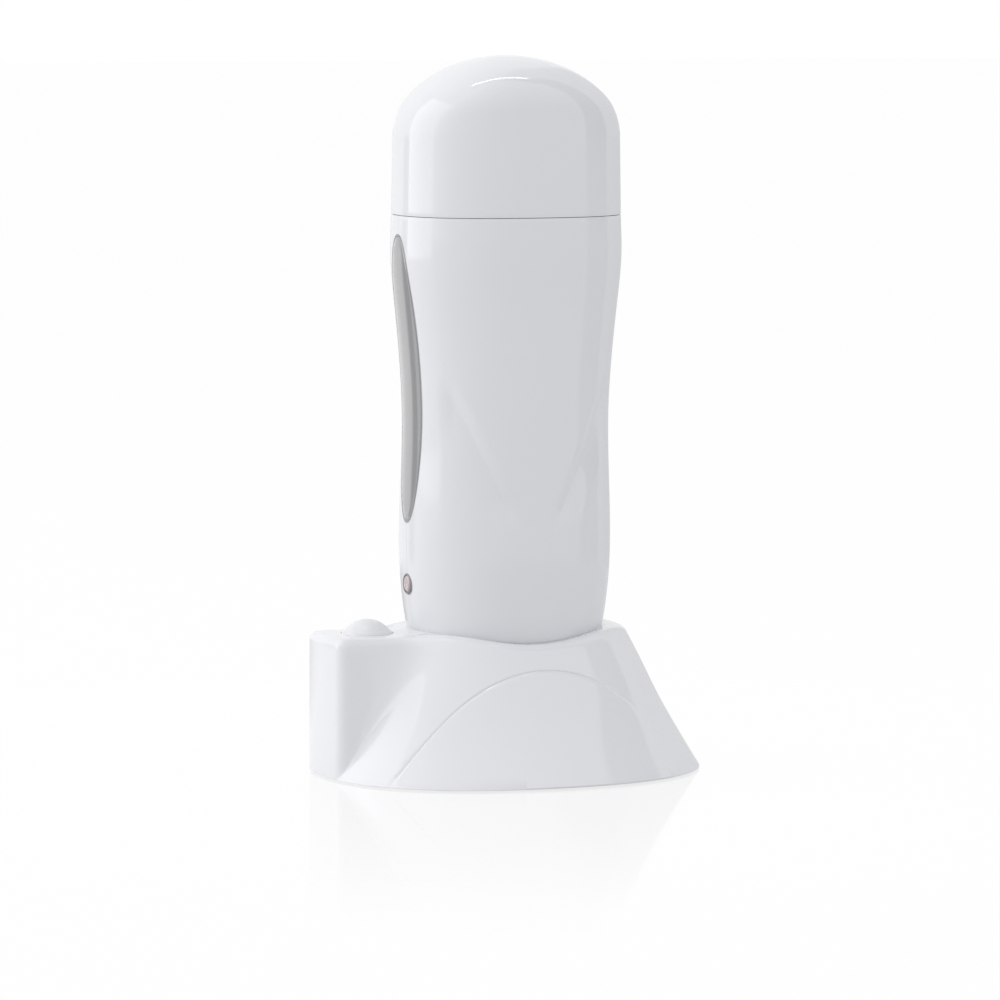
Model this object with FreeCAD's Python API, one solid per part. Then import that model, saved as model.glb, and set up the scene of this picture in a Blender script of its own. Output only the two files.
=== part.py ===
import FreeCAD, Part
import math
import os

from FreeCAD import Vector

# Roll-on wax heater: a cartridge handset with a pull-off cap, standing in a flared
# docking base that carries a domed power button. Millimetres. The origin is on the
# handset's axis at the table; +Z is up, -Y is the front, the button block is at -X.

# ---- Handset outline: superellipse sections, half sizes at named heights ----
SECTION_EXPONENT = 2.4
SECTION_POINTS = 32
HANDSET_BOTTOM_Z = 22.5
ANKLE_Z = 42.0
KNEE_Z = 56.0
HIP_Z = 72.0
WAIST_Z = 106.0
FLARE_Z = 141.5
BULGE_Z = 156.5
SEAM_Z = 167.4
CAP_TOP_Z = 215.0

FOOT_HALF_WIDTH = 25.2
FOOT_HALF_DEPTH = 20.2
ANKLE_HALF_WIDTH = 29.2
ANKLE_HALF_DEPTH = 23.5
KNEE_HALF_WIDTH = 31.15
KNEE_HALF_DEPTH = 24.9
HIP_HALF_WIDTH = 31.75
HIP_HALF_DEPTH = 25.3
WAIST_HALF_WIDTH = 30.95
WAIST_HALF_DEPTH = 25.0
FLARE_HALF_WIDTH = 33.6
FLARE_HALF_DEPTH = 26.2
BULGE_HALF_WIDTH = 34.8
BULGE_HALF_DEPTH = 26.9
SEAM_HALF_WIDTH = 34.5
SEAM_HALF_DEPTH = 26.8
SHELL_WALL = 2.2

# ---- Cap ----
CAP_SEAM_GAP = 0.3
CAP_WALL = 2.0
CAP_SHOULDER_HALF_WIDTH = 34.1
CAP_SHOULDER_HALF_DEPTH = 26.4
CAP_SHOULDER_RADIUS_X = 18.0
CAP_SHOULDER_RADIUS_Y = 14.0
CAP_CROWN_RADIUS_X = 42.0
CAP_CROWN_RADIUS_Y = 48.0
CAP_APEX_HALF_WIDTH = 3.0
CAP_SPRING_SHARE = 0.45
CAP_SKIRT_SECTIONS = 5
CAP_CROWN_SECTIONS = 9

# ---- Neck ring that the cap slides over, with the deck that carries the well ----
NECK_HEIGHT = 8.0
NECK_DEPTH = 11.0
NECK_WALL = 1.6
NECK_DECK = 1.6
NECK_CLEARANCE = 0.3
NECK_SEAT_GAP = 0.15

# ---- Heating well for a 100 ml wax cartridge of 53 x 33 mm ----
CARTRIDGE_WIDTH = 53.0
CARTRIDGE_DEPTH = 33.0
CARTRIDGE_CLEARANCE = 0.75
WELL_WALL = 1.0
WELL_CORNER_RADIUS = 15.0
WELL_FLOOR_Z = 68.7
WELL_FLANGE = 2.4
WELL_SLOT_HALF_WIDTH = 6.0
WELL_SLOT_MARGIN = 4.0

# ---- Level window and its frame on the handset's -X side ----
WINDOW_CENTRE_Z = 118.6
WINDOW_HALF_HEIGHT = 42.6
WINDOW_HALF_WIDTH = 8.0
WINDOW_EXPONENT = 2.5
WINDOW_FRAME = 0.7

# ---- Power-on indicator ----
INDICATOR_Z = 57.0
INDICATOR_BEZEL_RADIUS = 3.3
INDICATOR_LENS_RADIUS = 2.4
INDICATOR_FLANGE = 0.5
INDICATOR_BODY_RADIUS = 2.9
INDICATOR_BODY_LENGTH = 5.0
INDICATOR_DOME_HEIGHT = 0.7
NEON_RADIUS = 2.0
NEON_LENGTH = 9.0
NEON_TIP_RADIUS = 1.2

# ---- Heaters on the flat faces of the well ----
HEATER_HALF_WIDTH = 13.0
HEATER_HEIGHT = 50.0
HEATER_THICKNESS = 2.6
HEATER_BOTTOM_Z = 78.0
HEATER_GAP = 0.1
PAD_GAP = 0.2
FUSE_RADIUS = 1.8
FUSE_LENGTH = 12.0

# ---- Handset power inlet and the dock connector that enters it ----
PIN_RADIUS = 1.2
PIN_PITCH = 8.6
PIN_LENGTH = 15.0
INLET_CAVITY_LENGTH = 14.6
INLET_CAVITY_WIDTH = 8.6
INLET_DEPTH = 14.0
INLET_WALL = 2.2
INLET_ROOF = 2.0
INLET_FLANGE = 2.4
INLET_FLANGE_THICKNESS = 1.5
TOWER_CLEARANCE = 0.4
TOWER_HEIGHT = 13.0
TOWER_FLANGE = 3.2
TOWER_FLANGE_THICKNESS = 2.0
CONTACT_BORE_RADIUS = 1.5
CONTACT_RADIUS = 2.2
CONTACT_TAIL = 4.0
CONTACT_LEDGE = 1.0

# ---- Handset fixings and board ----
SHELL_SCREW_X = 20.0
SHELL_SCREW_Z = 32.0
SHELL_SCREW_RADIUS = 1.4
SHELL_SCREW_HEAD_RADIUS = 2.7
SHELL_SCREW_HEAD_HEIGHT = 1.8
SHELL_SCREW_SEAT_Y = 9.5
SHELL_BOSS_RADIUS = 3.4
SHELL_BOSS_DEPTH = 10.0
BOARD_HALF_WIDTH = 20.0
BOARD_BOTTOM_Z = 42.0
BOARD_HEIGHT = 22.0
BOARD_THICKNESS = 1.6
BOARD_Y = 9.0
BOARD_SCREW_X = 15.0
BOARD_SCREW_Z = 60.0
BOARD_SCREW_RADIUS = 1.2
BOARD_SCREW_LENGTH = 8.0
RESISTOR_RADIUS = 1.3
RESISTOR_LENGTH = 7.0

# ---- Insulated wires: bend share of the shorter run, and how each run is routed ----
WIRE_RADIUS = 0.7
WIRE_BEND_SHARE = 0.45
PIN_WIRE_RISE = 4.0
PIN_WIRE_SPREAD = 4.0
PIN_WIRE_ENTRY_RISE = 9.0
PIN_WIRE_STANDOFF = 3.0
HEATER_WIRE_INSET = 3.0
HEATER_WIRE_RISE = 1.6
BASE_WIRE_LIFT = 4.0
BASE_WIRE_LEAD = 5.0
BASE_WIRE_BOW = 6.0
BASE_WIRE_SWEEP = 18.0
SWITCH_WIRE_SPREAD = 2.0

# ---- Docking base: flared skirt, collar and button block ----
FOOT_HEIGHT = 0.6
BASE_EXPONENT = 2.3
BASE_MID_Z = 20.0
BASE_TOP_Z = 40.0
BASE_BOTTOM_HALF_WIDTH = 59.2
BASE_BOTTOM_HALF_DEPTH = 50.0
BASE_MID_SHARE_X = 0.484
BASE_MID_SHARE_Y = 0.4327
BASE_LIP_RISE = 8.0
BASE_LIP_INSET = 3.4
BASE_WALL = 2.2
BASE_FLOOR_STEP = 1.0
COLLAR_PEAK_Z = 43.4
COLLAR_DIP_Z = 40.3
COLLAR_PEAK_X = 31.0
COLLAR_LIP_RADIUS = 2.4
COLLAR_WIDTH_X = 7.4
COLLAR_WIDTH_Y = 5.0
SADDLE_POINTS = 6
SOCKET_CLEARANCE = 0.7
SOCKET_WALL = 1.8
SOCKET_FLOOR_GAP = 0.3
SOCKET_FLOOR = 2.0
BASE_CEILING_Z = 37.2
BASE_TOP_HALF_WIDTH = ANKLE_HALF_WIDTH + SOCKET_CLEARANCE + COLLAR_WIDTH_X
BASE_TOP_HALF_DEPTH = ANKLE_HALF_DEPTH + SOCKET_CLEARANCE + COLLAR_WIDTH_Y
BASE_MID_HALF_WIDTH = (
    BASE_TOP_HALF_WIDTH + (BASE_BOTTOM_HALF_WIDTH - BASE_TOP_HALF_WIDTH) * BASE_MID_SHARE_X
)
BASE_MID_HALF_DEPTH = (
    BASE_TOP_HALF_DEPTH + (BASE_BOTTOM_HALF_DEPTH - BASE_TOP_HALF_DEPTH) * BASE_MID_SHARE_Y
)

ARCH_APEX_Z = 32.8
ARCH_SHOULDER_X = 27.2
ARCH_SHOULDER_Z = 22.6
ARCH_HALF_SPAN = 49.5
ARCH_STEP = 0.4

BLOCK_TOP_Z = 42.3
BLOCK_ROOT_X = 20.0
BLOCK_HALF_DEPTH = 13.5
BLOCK_CORNER_RADIUS = 3.0
BLOCK_EDGE_RADIUS = 2.4

# ---- Power button, its rubber spring and switch ----
BUTTON_PLACE_SHARE = 0.5455
BUTTON_RADIUS_SHARE = 0.2836
BLOCK_FREE_LENGTH = BASE_BOTTOM_HALF_WIDTH - ANKLE_HALF_WIDTH - SOCKET_CLEARANCE - SOCKET_WALL
BUTTON_X = -(BASE_BOTTOM_HALF_WIDTH - BLOCK_FREE_LENGTH * BUTTON_PLACE_SHARE)
BUTTON_RADIUS = BLOCK_FREE_LENGTH * BUTTON_RADIUS_SHARE
BUTTON_DOME_HEIGHT = 4.0
BUTTON_RIM_HEIGHT = 0.6
BUTTON_CLEARANCE = 0.3
BUTTON_TRAVEL = 2.0
BUTTON_FLANGE_LEDGE = 1.2
BUTTON_FLANGE_RADIUS = BUTTON_RADIUS + BUTTON_FLANGE_LEDGE
BUTTON_FLANGE = 1.2
BUTTON_STEM_RADIUS = 2.4
SWITCH_SIZE = 12.0
SWITCH_HEIGHT = 8.0
SWITCH_PLUNGER_RADIUS = 1.5
SWITCH_PLUNGER_DEPTH = 2.0
SWITCH_BOARD_TOP_Z = 18.0
SWITCH_BOARD_MARGIN = 1.7
SWITCH_BOARD_HALF_WIDTH = BUTTON_RADIUS + SWITCH_BOARD_MARGIN
BELLOWS_RADIUS = 4.0
BELLOWS_WAVE = 0.8
BELLOWS_WALL = 0.6
BELLOWS_FOLDS = 4

# ---- Base floor, feet, screws and electrical entry ----
FLOOR_PLATE_GAP = 0.3
FLOOR_PLATE_RECESS = 0.2
FLOOR_PLATE = 2.4
PAD_RADIUS = 5.0
PAD_POCKET = 1.0
PAD_POCKET_CLEARANCE = 0.1
PAD_X = 29.0
PAD_Y = 31.0
BASE_SCREW_INSET = 19.2
BASE_SCREW_X = BASE_BOTTOM_HALF_WIDTH - BASE_SCREW_INSET
BASE_SCREW_Y = 19.5
BASE_SCREW_RADIUS = 1.5
BASE_SCREW_HEAD_RADIUS = 2.8
BASE_SCREW_HEAD_HEIGHT = 1.4
BASE_SCREW_LENGTH = 9.0
BASE_BOSS_RADIUS = 3.6
GLAND_Z = 30.0
GLAND_BORE_RADIUS = 2.8
GLAND_RADIUS = 3.9
GLAND_FLANGE_RADIUS = 4.6
GLAND_FLANGE = 1.0
GLAND_MARGIN = 1.5
GLAND_X = -(BASE_BOTTOM_HALF_WIDTH - BLOCK_CORNER_RADIUS - GLAND_FLANGE_RADIUS - GLAND_MARGIN)
TERMINAL_X = -16.0
TERMINAL_Y = 22.0
TERMINAL_LENGTH = 18.0
TERMINAL_WIDTH = 9.0
TERMINAL_HEIGHT = 9.0
TERMINAL_WELL_RADIUS = 2.2
TERMINAL_SCREW_RADIUS = 1.8
TERMINAL_SCREW_DEPTH = 1.0

POST_RADIUS = 2.2
POST_INSET = 0.3
POST_SPREAD = BUTTON_RADIUS - POST_INSET

# ---- Reach of the tool shapes beyond the part, and how upright an edge counts as upright ----
FAR = 200.0
OVERSHOOT = 1.0
UPRIGHT_TANGENT = 0.9
LEVEL_TOLERANCE = 0.01


# ---- Shape helpers ----
def superellipse_point(half_width, half_depth, exponent, angle, z):
    c = math.cos(angle)
    s = math.sin(angle)
    reach = (abs(c) ** exponent + abs(s) ** exponent) ** (-1.0 / exponent)
    return Vector(half_width * c * reach, half_depth * s * reach, z)


def section_wire(half_width, half_depth, z, exponent):
    """Closed smooth section in a level plane."""
    step = 2.0 * math.pi / SECTION_POINTS
    points = []
    for index in range(SECTION_POINTS):
        points.append(superellipse_point(half_width, half_depth, exponent, step * index, z))
    curve = Part.BSplineCurve()
    curve.interpolate(Points=points, PeriodicFlag=True)
    return Part.Wire(curve.toShape())


def loft_sections(stations, offset, exponent):
    """Solid through (z, half width, half depth) stations, grown by offset."""
    wires = []
    for z, half_width, half_depth in stations:
        wires.append(section_wire(half_width + offset, half_depth + offset, z, exponent))
    return Part.makeLoft(wires, True, False)


def block_between(x0, x1, y0, y1, z0, z1):
    return Part.makeBox(x1 - x0, y1 - y0, z1 - z0, Vector(x0, y0, z0))


def slab(z0, z1):
    """Everything between two heights."""
    return block_between(-FAR, FAR, -FAR, FAR, z0, z1)


def cylinder_z(x, y, z0, z1, radius):
    return Part.makeCylinder(radius, z1 - z0, Vector(x, y, z0), Vector(0, 0, 1))


def cylinder_y(x, z, y0, y1, radius):
    return Part.makeCylinder(radius, y1 - y0, Vector(x, y0, z), Vector(0, 1, 0))


def cylinder_x(y, z, x0, x1, radius):
    return Part.makeCylinder(radius, x1 - x0, Vector(x0, y, z), Vector(1, 0, 0))


def rounded_prism(length, width, radius, z0, z1):
    """Upright prism with a rounded rectangle section centred on the axis."""
    box = block_between(-length / 2, length / 2, -width / 2, width / 2, z0, z1)
    upright = []
    for edge in box.Edges:
        if abs(edge.tangentAt(edge.FirstParameter).z) > UPRIGHT_TANGENT:
            upright.append(edge)
    return box.makeFillet(radius, upright)


def stadium_prism(length, width, z0, z1):
    """Upright prism with round ends, centred on the axis, long along X."""
    reach = (length - width) / 2
    middle = block_between(-reach, reach, -width / 2, width / 2, z0, z1)
    ends = [cylinder_z(-reach, 0, z0, z1, width / 2), cylinder_z(reach, 0, z0, z1, width / 2)]
    return middle.multiFuse(ends).removeSplitter()


def side_prism(outline_points, x0, x1):
    """Prism along X from a closed smooth outline in the YZ plane at x0."""
    curve = Part.BSplineCurve()
    curve.interpolate(Points=outline_points, PeriodicFlag=True)
    face = Part.Face(Part.Wire(curve.toShape()))
    return face.extrude(Vector(x1 - x0, 0, 0))


def wire_run(points, radius):
    """Insulated wire: straight runs joined by tangent arcs, swept by a circle."""
    edges = []
    start = points[0]
    for index in range(1, len(points) - 1):
        corner = points[index]
        before = points[index - 1] - corner
        after = points[index + 1] - corner
        reach = WIRE_BEND_SHARE * min(before.Length, after.Length)
        entry = corner + before.normalize() * reach
        leave = corner + after.normalize() * reach
        chord_middle = (entry + leave) * 0.5
        half_turn = (math.pi - before.getAngle(after)) / 2
        arc_radius = reach / math.tan(half_turn)
        centre_distance = arc_radius / math.cos(half_turn)
        inward = (chord_middle - corner).normalize()
        apex = corner + inward * (centre_distance - arc_radius)
        edges.append(Part.LineSegment(start, entry).toShape())
        edges.append(Part.Arc(entry, apex, leave).toShape())
        start = leave
    edges.append(Part.LineSegment(start, points[-1]).toShape())
    path = Part.Wire(edges)
    direction = (points[1] - points[0]).normalize()
    profile = Part.Wire(Part.makeCircle(radius, points[0], direction))
    return path.makePipeShell([profile], True, False)


def pan_screw_y(x, z, seat_y, length, radius, head_radius, head_height):
    """Screw that enters towards -Y with its head beyond seat_y."""
    shank = cylinder_y(x, z, seat_y - length, seat_y, radius)
    head = cylinder_y(x, z, seat_y, seat_y + head_height, head_radius)
    return shank.fuse(head).removeSplitter()


def pan_screw_up(x, y, seat_z, length, radius, head_radius, head_height):
    """Screw that enters upwards with its head below seat_z."""
    shank = cylinder_z(x, y, seat_z, seat_z + length, radius)
    head = cylinder_z(x, y, seat_z - head_height, seat_z, head_radius)
    return shank.fuse(head).removeSplitter()


def export(node, shape):
    shape.exportStep("parts/" + node + ".step")


# ---- Handset outline and its derived solids ----
def handset_stations():
    return [
        (HANDSET_BOTTOM_Z, FOOT_HALF_WIDTH, FOOT_HALF_DEPTH),
        (ANKLE_Z, ANKLE_HALF_WIDTH, ANKLE_HALF_DEPTH),
        (KNEE_Z, KNEE_HALF_WIDTH, KNEE_HALF_DEPTH),
        (HIP_Z, HIP_HALF_WIDTH, HIP_HALF_DEPTH),
        (WAIST_Z, WAIST_HALF_WIDTH, WAIST_HALF_DEPTH),
        (FLARE_Z, FLARE_HALF_WIDTH, FLARE_HALF_DEPTH),
        (BULGE_Z, BULGE_HALF_WIDTH, BULGE_HALF_DEPTH),
        (SEAM_Z, SEAM_HALF_WIDTH, SEAM_HALF_DEPTH),
        (SEAM_Z + NECK_HEIGHT, SEAM_HALF_WIDTH, SEAM_HALF_DEPTH),
    ]


def handset_solid(offset):
    return loft_sections(handset_stations(), offset, SECTION_EXPONENT)


def window_outline(grow, x):
    points = []
    step = 2.0 * math.pi / SECTION_POINTS
    for index in range(SECTION_POINTS):
        flat = superellipse_point(
            WINDOW_HALF_WIDTH + grow, WINDOW_HALF_HEIGHT + grow, WINDOW_EXPONENT, step * index, 0
        )
        points.append(Vector(x, flat.x, WINDOW_CENTRE_Z + flat.y))
    return points


def window_prism(grow):
    return side_prism(window_outline(grow, -FAR / 2), -FAR / 2, -well_half_width() + WELL_WALL)


def well_half_width():
    """Outer half width of the heating well."""
    return CARTRIDGE_WIDTH / 2 + CARTRIDGE_CLEARANCE + WELL_WALL


def well_half_depth():
    """Outer half depth of the heating well."""
    return CARTRIDGE_DEPTH / 2 + CARTRIDGE_CLEARANCE + WELL_WALL


def deck_top_z():
    """Top of the neck ring's deck, where the well's flange rests."""
    return SEAM_Z + NECK_HEIGHT


def inlet_body_length():
    return INLET_CAVITY_LENGTH + 2 * INLET_WALL


def inlet_body_width():
    return INLET_CAVITY_WIDTH + 2 * INLET_WALL


def inlet_roof_z():
    return HANDSET_BOTTOM_Z + INLET_DEPTH


def make_handset_shells():
    """Front and rear half shells that meet on the plane y = 0."""
    outer = handset_solid(0).common(slab(HANDSET_BOTTOM_Z, SEAM_Z))
    cavity = handset_solid(-SHELL_WALL).common(slab(HANDSET_BOTTOM_Z + SHELL_WALL, FAR * 2))
    shell = outer.cut(cavity)
    shell = shell.cut(window_prism(WINDOW_FRAME))
    shell = shell.cut(
        cylinder_x(0, INDICATOR_Z, -FAR / 2, -SHELL_BOSS_RADIUS, INDICATOR_BODY_RADIUS)
    )
    shell = shell.cut(
        stadium_prism(inlet_body_length(), inlet_body_width(), 0, HANDSET_BOTTOM_Z + SHELL_WALL)
    )
    front = shell.common(block_between(-FAR, FAR, -FAR, 0, 0, FAR * 2))
    rear = shell.common(block_between(-FAR, FAR, 0, FAR, 0, FAR * 2))
    inside = outer.cut(handset_solid(0).cut(handset_solid(-SHELL_WALL / 2)))
    for side in (-1, 1):
        x = side * SHELL_SCREW_X
        front_boss = cylinder_y(x, SHELL_SCREW_Z, -FAR / 2, 0, SHELL_BOSS_RADIUS).common(inside)
        front = front.fuse(front_boss)
        front = front.cut(
            cylinder_y(x, SHELL_SCREW_Z, -SHELL_BOSS_DEPTH, 0, SHELL_SCREW_RADIUS)
        )
        rear_boss = cylinder_y(x, SHELL_SCREW_Z, 0, FAR / 2, SHELL_BOSS_RADIUS).common(inside)
        rear = rear.fuse(rear_boss)
        rear = rear.cut(cylinder_y(x, SHELL_SCREW_Z, 0, FAR / 2, SHELL_SCREW_RADIUS))
        rear = rear.cut(
            cylinder_y(x, SHELL_SCREW_Z, SHELL_SCREW_SEAT_Y, FAR / 2, SHELL_SCREW_HEAD_RADIUS)
        )
        board_boss = cylinder_y(
            side * BOARD_SCREW_X, BOARD_SCREW_Z, BOARD_Y + BOARD_THICKNESS, FAR / 2, SHELL_BOSS_RADIUS
        ).common(inside)
        rear = rear.fuse(board_boss)
        rear = rear.cut(
            cylinder_y(
                side * BOARD_SCREW_X,
                BOARD_SCREW_Z,
                BOARD_Y,
                BOARD_Y + BOARD_SCREW_LENGTH,
                BOARD_SCREW_RADIUS,
            )
        )
    export("handset_front_shell", front.removeSplitter())
    export("handset_rear_shell", rear.removeSplitter())


def make_window():
    """Smoked level window, flush with the shells, in its dark frame."""
    skin = handset_solid(0).cut(handset_solid(-SHELL_WALL))
    opening = window_prism(0)
    export("window_lens", skin.common(opening))
    export("window_frame", skin.common(window_prism(WINDOW_FRAME)).cut(opening))


def indicator_face_x():
    """Outer shell surface at the indicator, taken between the knee and hip sections."""
    share = (INDICATOR_Z - KNEE_Z) / (HIP_Z - KNEE_Z)
    return -(KNEE_HALF_WIDTH + (HIP_HALF_WIDTH - KNEE_HALF_WIDTH) * share)


def make_indicator():
    """Bezel, lens and neon lamp on one axis along X."""
    face = indicator_face_x()
    rim = face - INDICATOR_FLANGE
    flange = cylinder_x(0, INDICATOR_Z, rim, face + INDICATOR_FLANGE, INDICATOR_BEZEL_RADIUS)
    flange = flange.cut(handset_solid(0))
    body = cylinder_x(0, INDICATOR_Z, rim, face + INDICATOR_BODY_LENGTH, INDICATOR_BODY_RADIUS)
    bezel = flange.fuse(body).cut(
        cylinder_x(0, INDICATOR_Z, face - FAR / 4, face + FAR / 4, INDICATOR_LENS_RADIUS)
    )
    export("indicator_bezel", bezel.removeSplitter())
    stem = cylinder_x(0, INDICATOR_Z, face, face + INDICATOR_BODY_LENGTH, INDICATOR_LENS_RADIUS)
    dome_radius = (INDICATOR_LENS_RADIUS ** 2 + INDICATOR_DOME_HEIGHT ** 2) / (2 * INDICATOR_DOME_HEIGHT)
    ball = Part.makeSphere(dome_radius, Vector(face - INDICATOR_DOME_HEIGHT + dome_radius, 0, INDICATOR_Z))
    dome = ball.common(
        cylinder_x(0, INDICATOR_Z, face - 2 * INDICATOR_DOME_HEIGHT, face, 2 * INDICATOR_LENS_RADIUS)
    )
    export("indicator_lens", stem.fuse(dome).removeSplitter())
    lamp_start = face + INDICATOR_BODY_LENGTH
    tube = cylinder_x(0, INDICATOR_Z, lamp_start, lamp_start + NEON_LENGTH, NEON_RADIUS)
    export("neon_lamp", tube.makeFillet(NEON_TIP_RADIUS, tube.Edges[0:1]))


def make_neck_ring():
    """Spigot for the cap; its deck carries the well and its tail sits in the shells."""
    neck_outer_width = SEAM_HALF_WIDTH - CAP_WALL - NECK_CLEARANCE
    neck_outer_depth = SEAM_HALF_DEPTH - CAP_WALL - NECK_CLEARANCE
    tail_outer_width = SEAM_HALF_WIDTH - SHELL_WALL - NECK_SEAT_GAP
    tail_outer_depth = SEAM_HALF_DEPTH - SHELL_WALL - NECK_SEAT_GAP
    half_width = min(neck_outer_width, tail_outer_width)
    half_depth = min(neck_outer_depth, tail_outer_depth)
    bottom = SEAM_Z - NECK_DEPTH
    outer = loft_sections(
        [(bottom, half_width, half_depth), (deck_top_z(), half_width, half_depth)], 0, SECTION_EXPONENT
    )
    inner = loft_sections(
        [(bottom - OVERSHOOT, half_width, half_depth), (deck_top_z() - NECK_DECK, half_width, half_depth)],
        -NECK_WALL,
        SECTION_EXPONENT,
    )
    mouth = rounded_prism(
        2 * well_half_width(), 2 * well_half_depth(), WELL_CORNER_RADIUS + WELL_WALL, 0, FAR * 2
    )
    export("neck_ring", outer.cut(inner).cut(mouth))


def make_heating_well():
    """Drawn aluminium well with a top flange and a slot behind the window."""
    half_width = well_half_width()
    half_depth = well_half_depth()
    radius = WELL_CORNER_RADIUS + WELL_WALL
    body = rounded_prism(
        2 * half_width, 2 * half_depth, radius, WELL_FLOOR_Z - WELL_WALL, deck_top_z()
    )
    flange = rounded_prism(
        2 * (half_width + WELL_FLANGE),
        2 * (half_depth + WELL_FLANGE),
        radius + WELL_FLANGE,
        deck_top_z(),
        deck_top_z() + WELL_WALL,
    )
    bore = rounded_prism(
        2 * (half_width - WELL_WALL),
        2 * (half_depth - WELL_WALL),
        WELL_CORNER_RADIUS,
        WELL_FLOOR_Z,
        FAR * 2,
    )
    slot_low = WINDOW_CENTRE_Z - WINDOW_HALF_HEIGHT + WELL_SLOT_MARGIN
    slot_high = WINDOW_CENTRE_Z + WINDOW_HALF_HEIGHT - WELL_SLOT_MARGIN
    slot = block_between(
        -half_width - OVERSHOOT,
        -half_width + radius / 2,
        -WELL_SLOT_HALF_WIDTH,
        WELL_SLOT_HALF_WIDTH,
        slot_low,
        slot_high,
    )
    export("heating_well", body.fuse(flange).cut(bore).cut(slot).removeSplitter())


def make_heaters():
    """PTC heater plates on the well's flats, foam pads behind them, thermal fuse below."""
    cavity = handset_solid(-SHELL_WALL - PAD_GAP)
    inner_face = well_half_depth() + HEATER_GAP
    outer_face = inner_face + HEATER_THICKNESS
    top = HEATER_BOTTOM_Z + HEATER_HEIGHT
    for name, side in (("front", -1), ("rear", 1)):
        low = min(side * inner_face, side * outer_face)
        high = max(side * inner_face, side * outer_face)
        plate = block_between(-HEATER_HALF_WIDTH, HEATER_HALF_WIDTH, low, high, HEATER_BOTTOM_Z, top)
        export("ptc_heater_" + name, plate)
        pad_low = min(side * (outer_face + HEATER_GAP), side * FAR)
        pad_high = max(side * (outer_face + HEATER_GAP), side * FAR)
        pad = block_between(
            -HEATER_HALF_WIDTH, HEATER_HALF_WIDTH, pad_low, pad_high, HEATER_BOTTOM_Z, top
        )
        export("insulation_pad_" + name, pad.common(cavity))
    fuse_y = well_half_depth() + HEATER_GAP + FUSE_RADIUS
    fuse_z = HEATER_BOTTOM_Z - 2 * FUSE_RADIUS
    export("thermal_fuse", cylinder_x(fuse_y, fuse_z, -FUSE_LENGTH / 2, FUSE_LENGTH / 2, FUSE_RADIUS))


def make_handset_inlet():
    """Downward-facing inlet cup with two pins, flanged over the shells' floor."""
    floor_z = HANDSET_BOTTOM_Z + SHELL_WALL
    body = stadium_prism(
        inlet_body_length(), inlet_body_width(), HANDSET_BOTTOM_Z, inlet_roof_z() + INLET_ROOF
    )
    flange = stadium_prism(
        inlet_body_length() + 2 * INLET_FLANGE,
        inlet_body_width() + 2 * INLET_FLANGE,
        floor_z,
        floor_z + INLET_FLANGE_THICKNESS,
    )
    cavity = stadium_prism(INLET_CAVITY_LENGTH, INLET_CAVITY_WIDTH, 0, inlet_roof_z())
    inlet = body.fuse(flange).cut(cavity)
    pins = []
    for side in (-1, 1):
        x = side * PIN_PITCH / 2
        top = inlet_roof_z() + INLET_ROOF + CONTACT_TAIL
        pin = cylinder_z(x, 0, top - PIN_LENGTH, top, PIN_RADIUS)
        inlet = inlet.cut(pin)
        pins.append(pin)
    export("handset_inlet", inlet.removeSplitter())
    export("inlet_pins", Part.makeCompound(pins))


def make_handset_board():
    """Board on two rear bosses, with the lamp's resistor."""
    board = block_between(
        -BOARD_HALF_WIDTH,
        BOARD_HALF_WIDTH,
        BOARD_Y,
        BOARD_Y + BOARD_THICKNESS,
        BOARD_BOTTOM_Z,
        BOARD_BOTTOM_Z + BOARD_HEIGHT,
    )
    screws = []
    for side in (-1, 1):
        x = side * BOARD_SCREW_X
        board = board.cut(cylinder_y(x, BOARD_SCREW_Z, 0, FAR / 4, BOARD_SCREW_RADIUS))
        shank = cylinder_y(x, BOARD_SCREW_Z, BOARD_Y, BOARD_Y + BOARD_SCREW_LENGTH, BOARD_SCREW_RADIUS)
        head = cylinder_y(
            x, BOARD_SCREW_Z, BOARD_Y - BOARD_SCREW_RADIUS, BOARD_Y, 2 * BOARD_SCREW_RADIUS
        )
        screws.append(shank.fuse(head).removeSplitter())
    export("circuit_board", board)
    export("board_screws", Part.makeCompound(screws))
    resistor = cylinder_x(
        BOARD_Y - RESISTOR_RADIUS,
        BOARD_BOTTOM_Z + BOARD_HEIGHT / 2,
        -RESISTOR_LENGTH / 2,
        RESISTOR_LENGTH / 2,
        RESISTOR_RADIUS,
    )
    export("lamp_resistor", resistor)


def make_handset_screws():
    screws = []
    for side in (-1, 1):
        screws.append(
            pan_screw_y(
                side * SHELL_SCREW_X,
                SHELL_SCREW_Z,
                SHELL_SCREW_SEAT_Y,
                SHELL_SCREW_SEAT_Y + SHELL_BOSS_DEPTH,
                SHELL_SCREW_RADIUS,
                SHELL_SCREW_HEAD_RADIUS,
                SHELL_SCREW_HEAD_HEIGHT,
            )
        )
    export("handset_screws", Part.makeCompound(screws))


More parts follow.
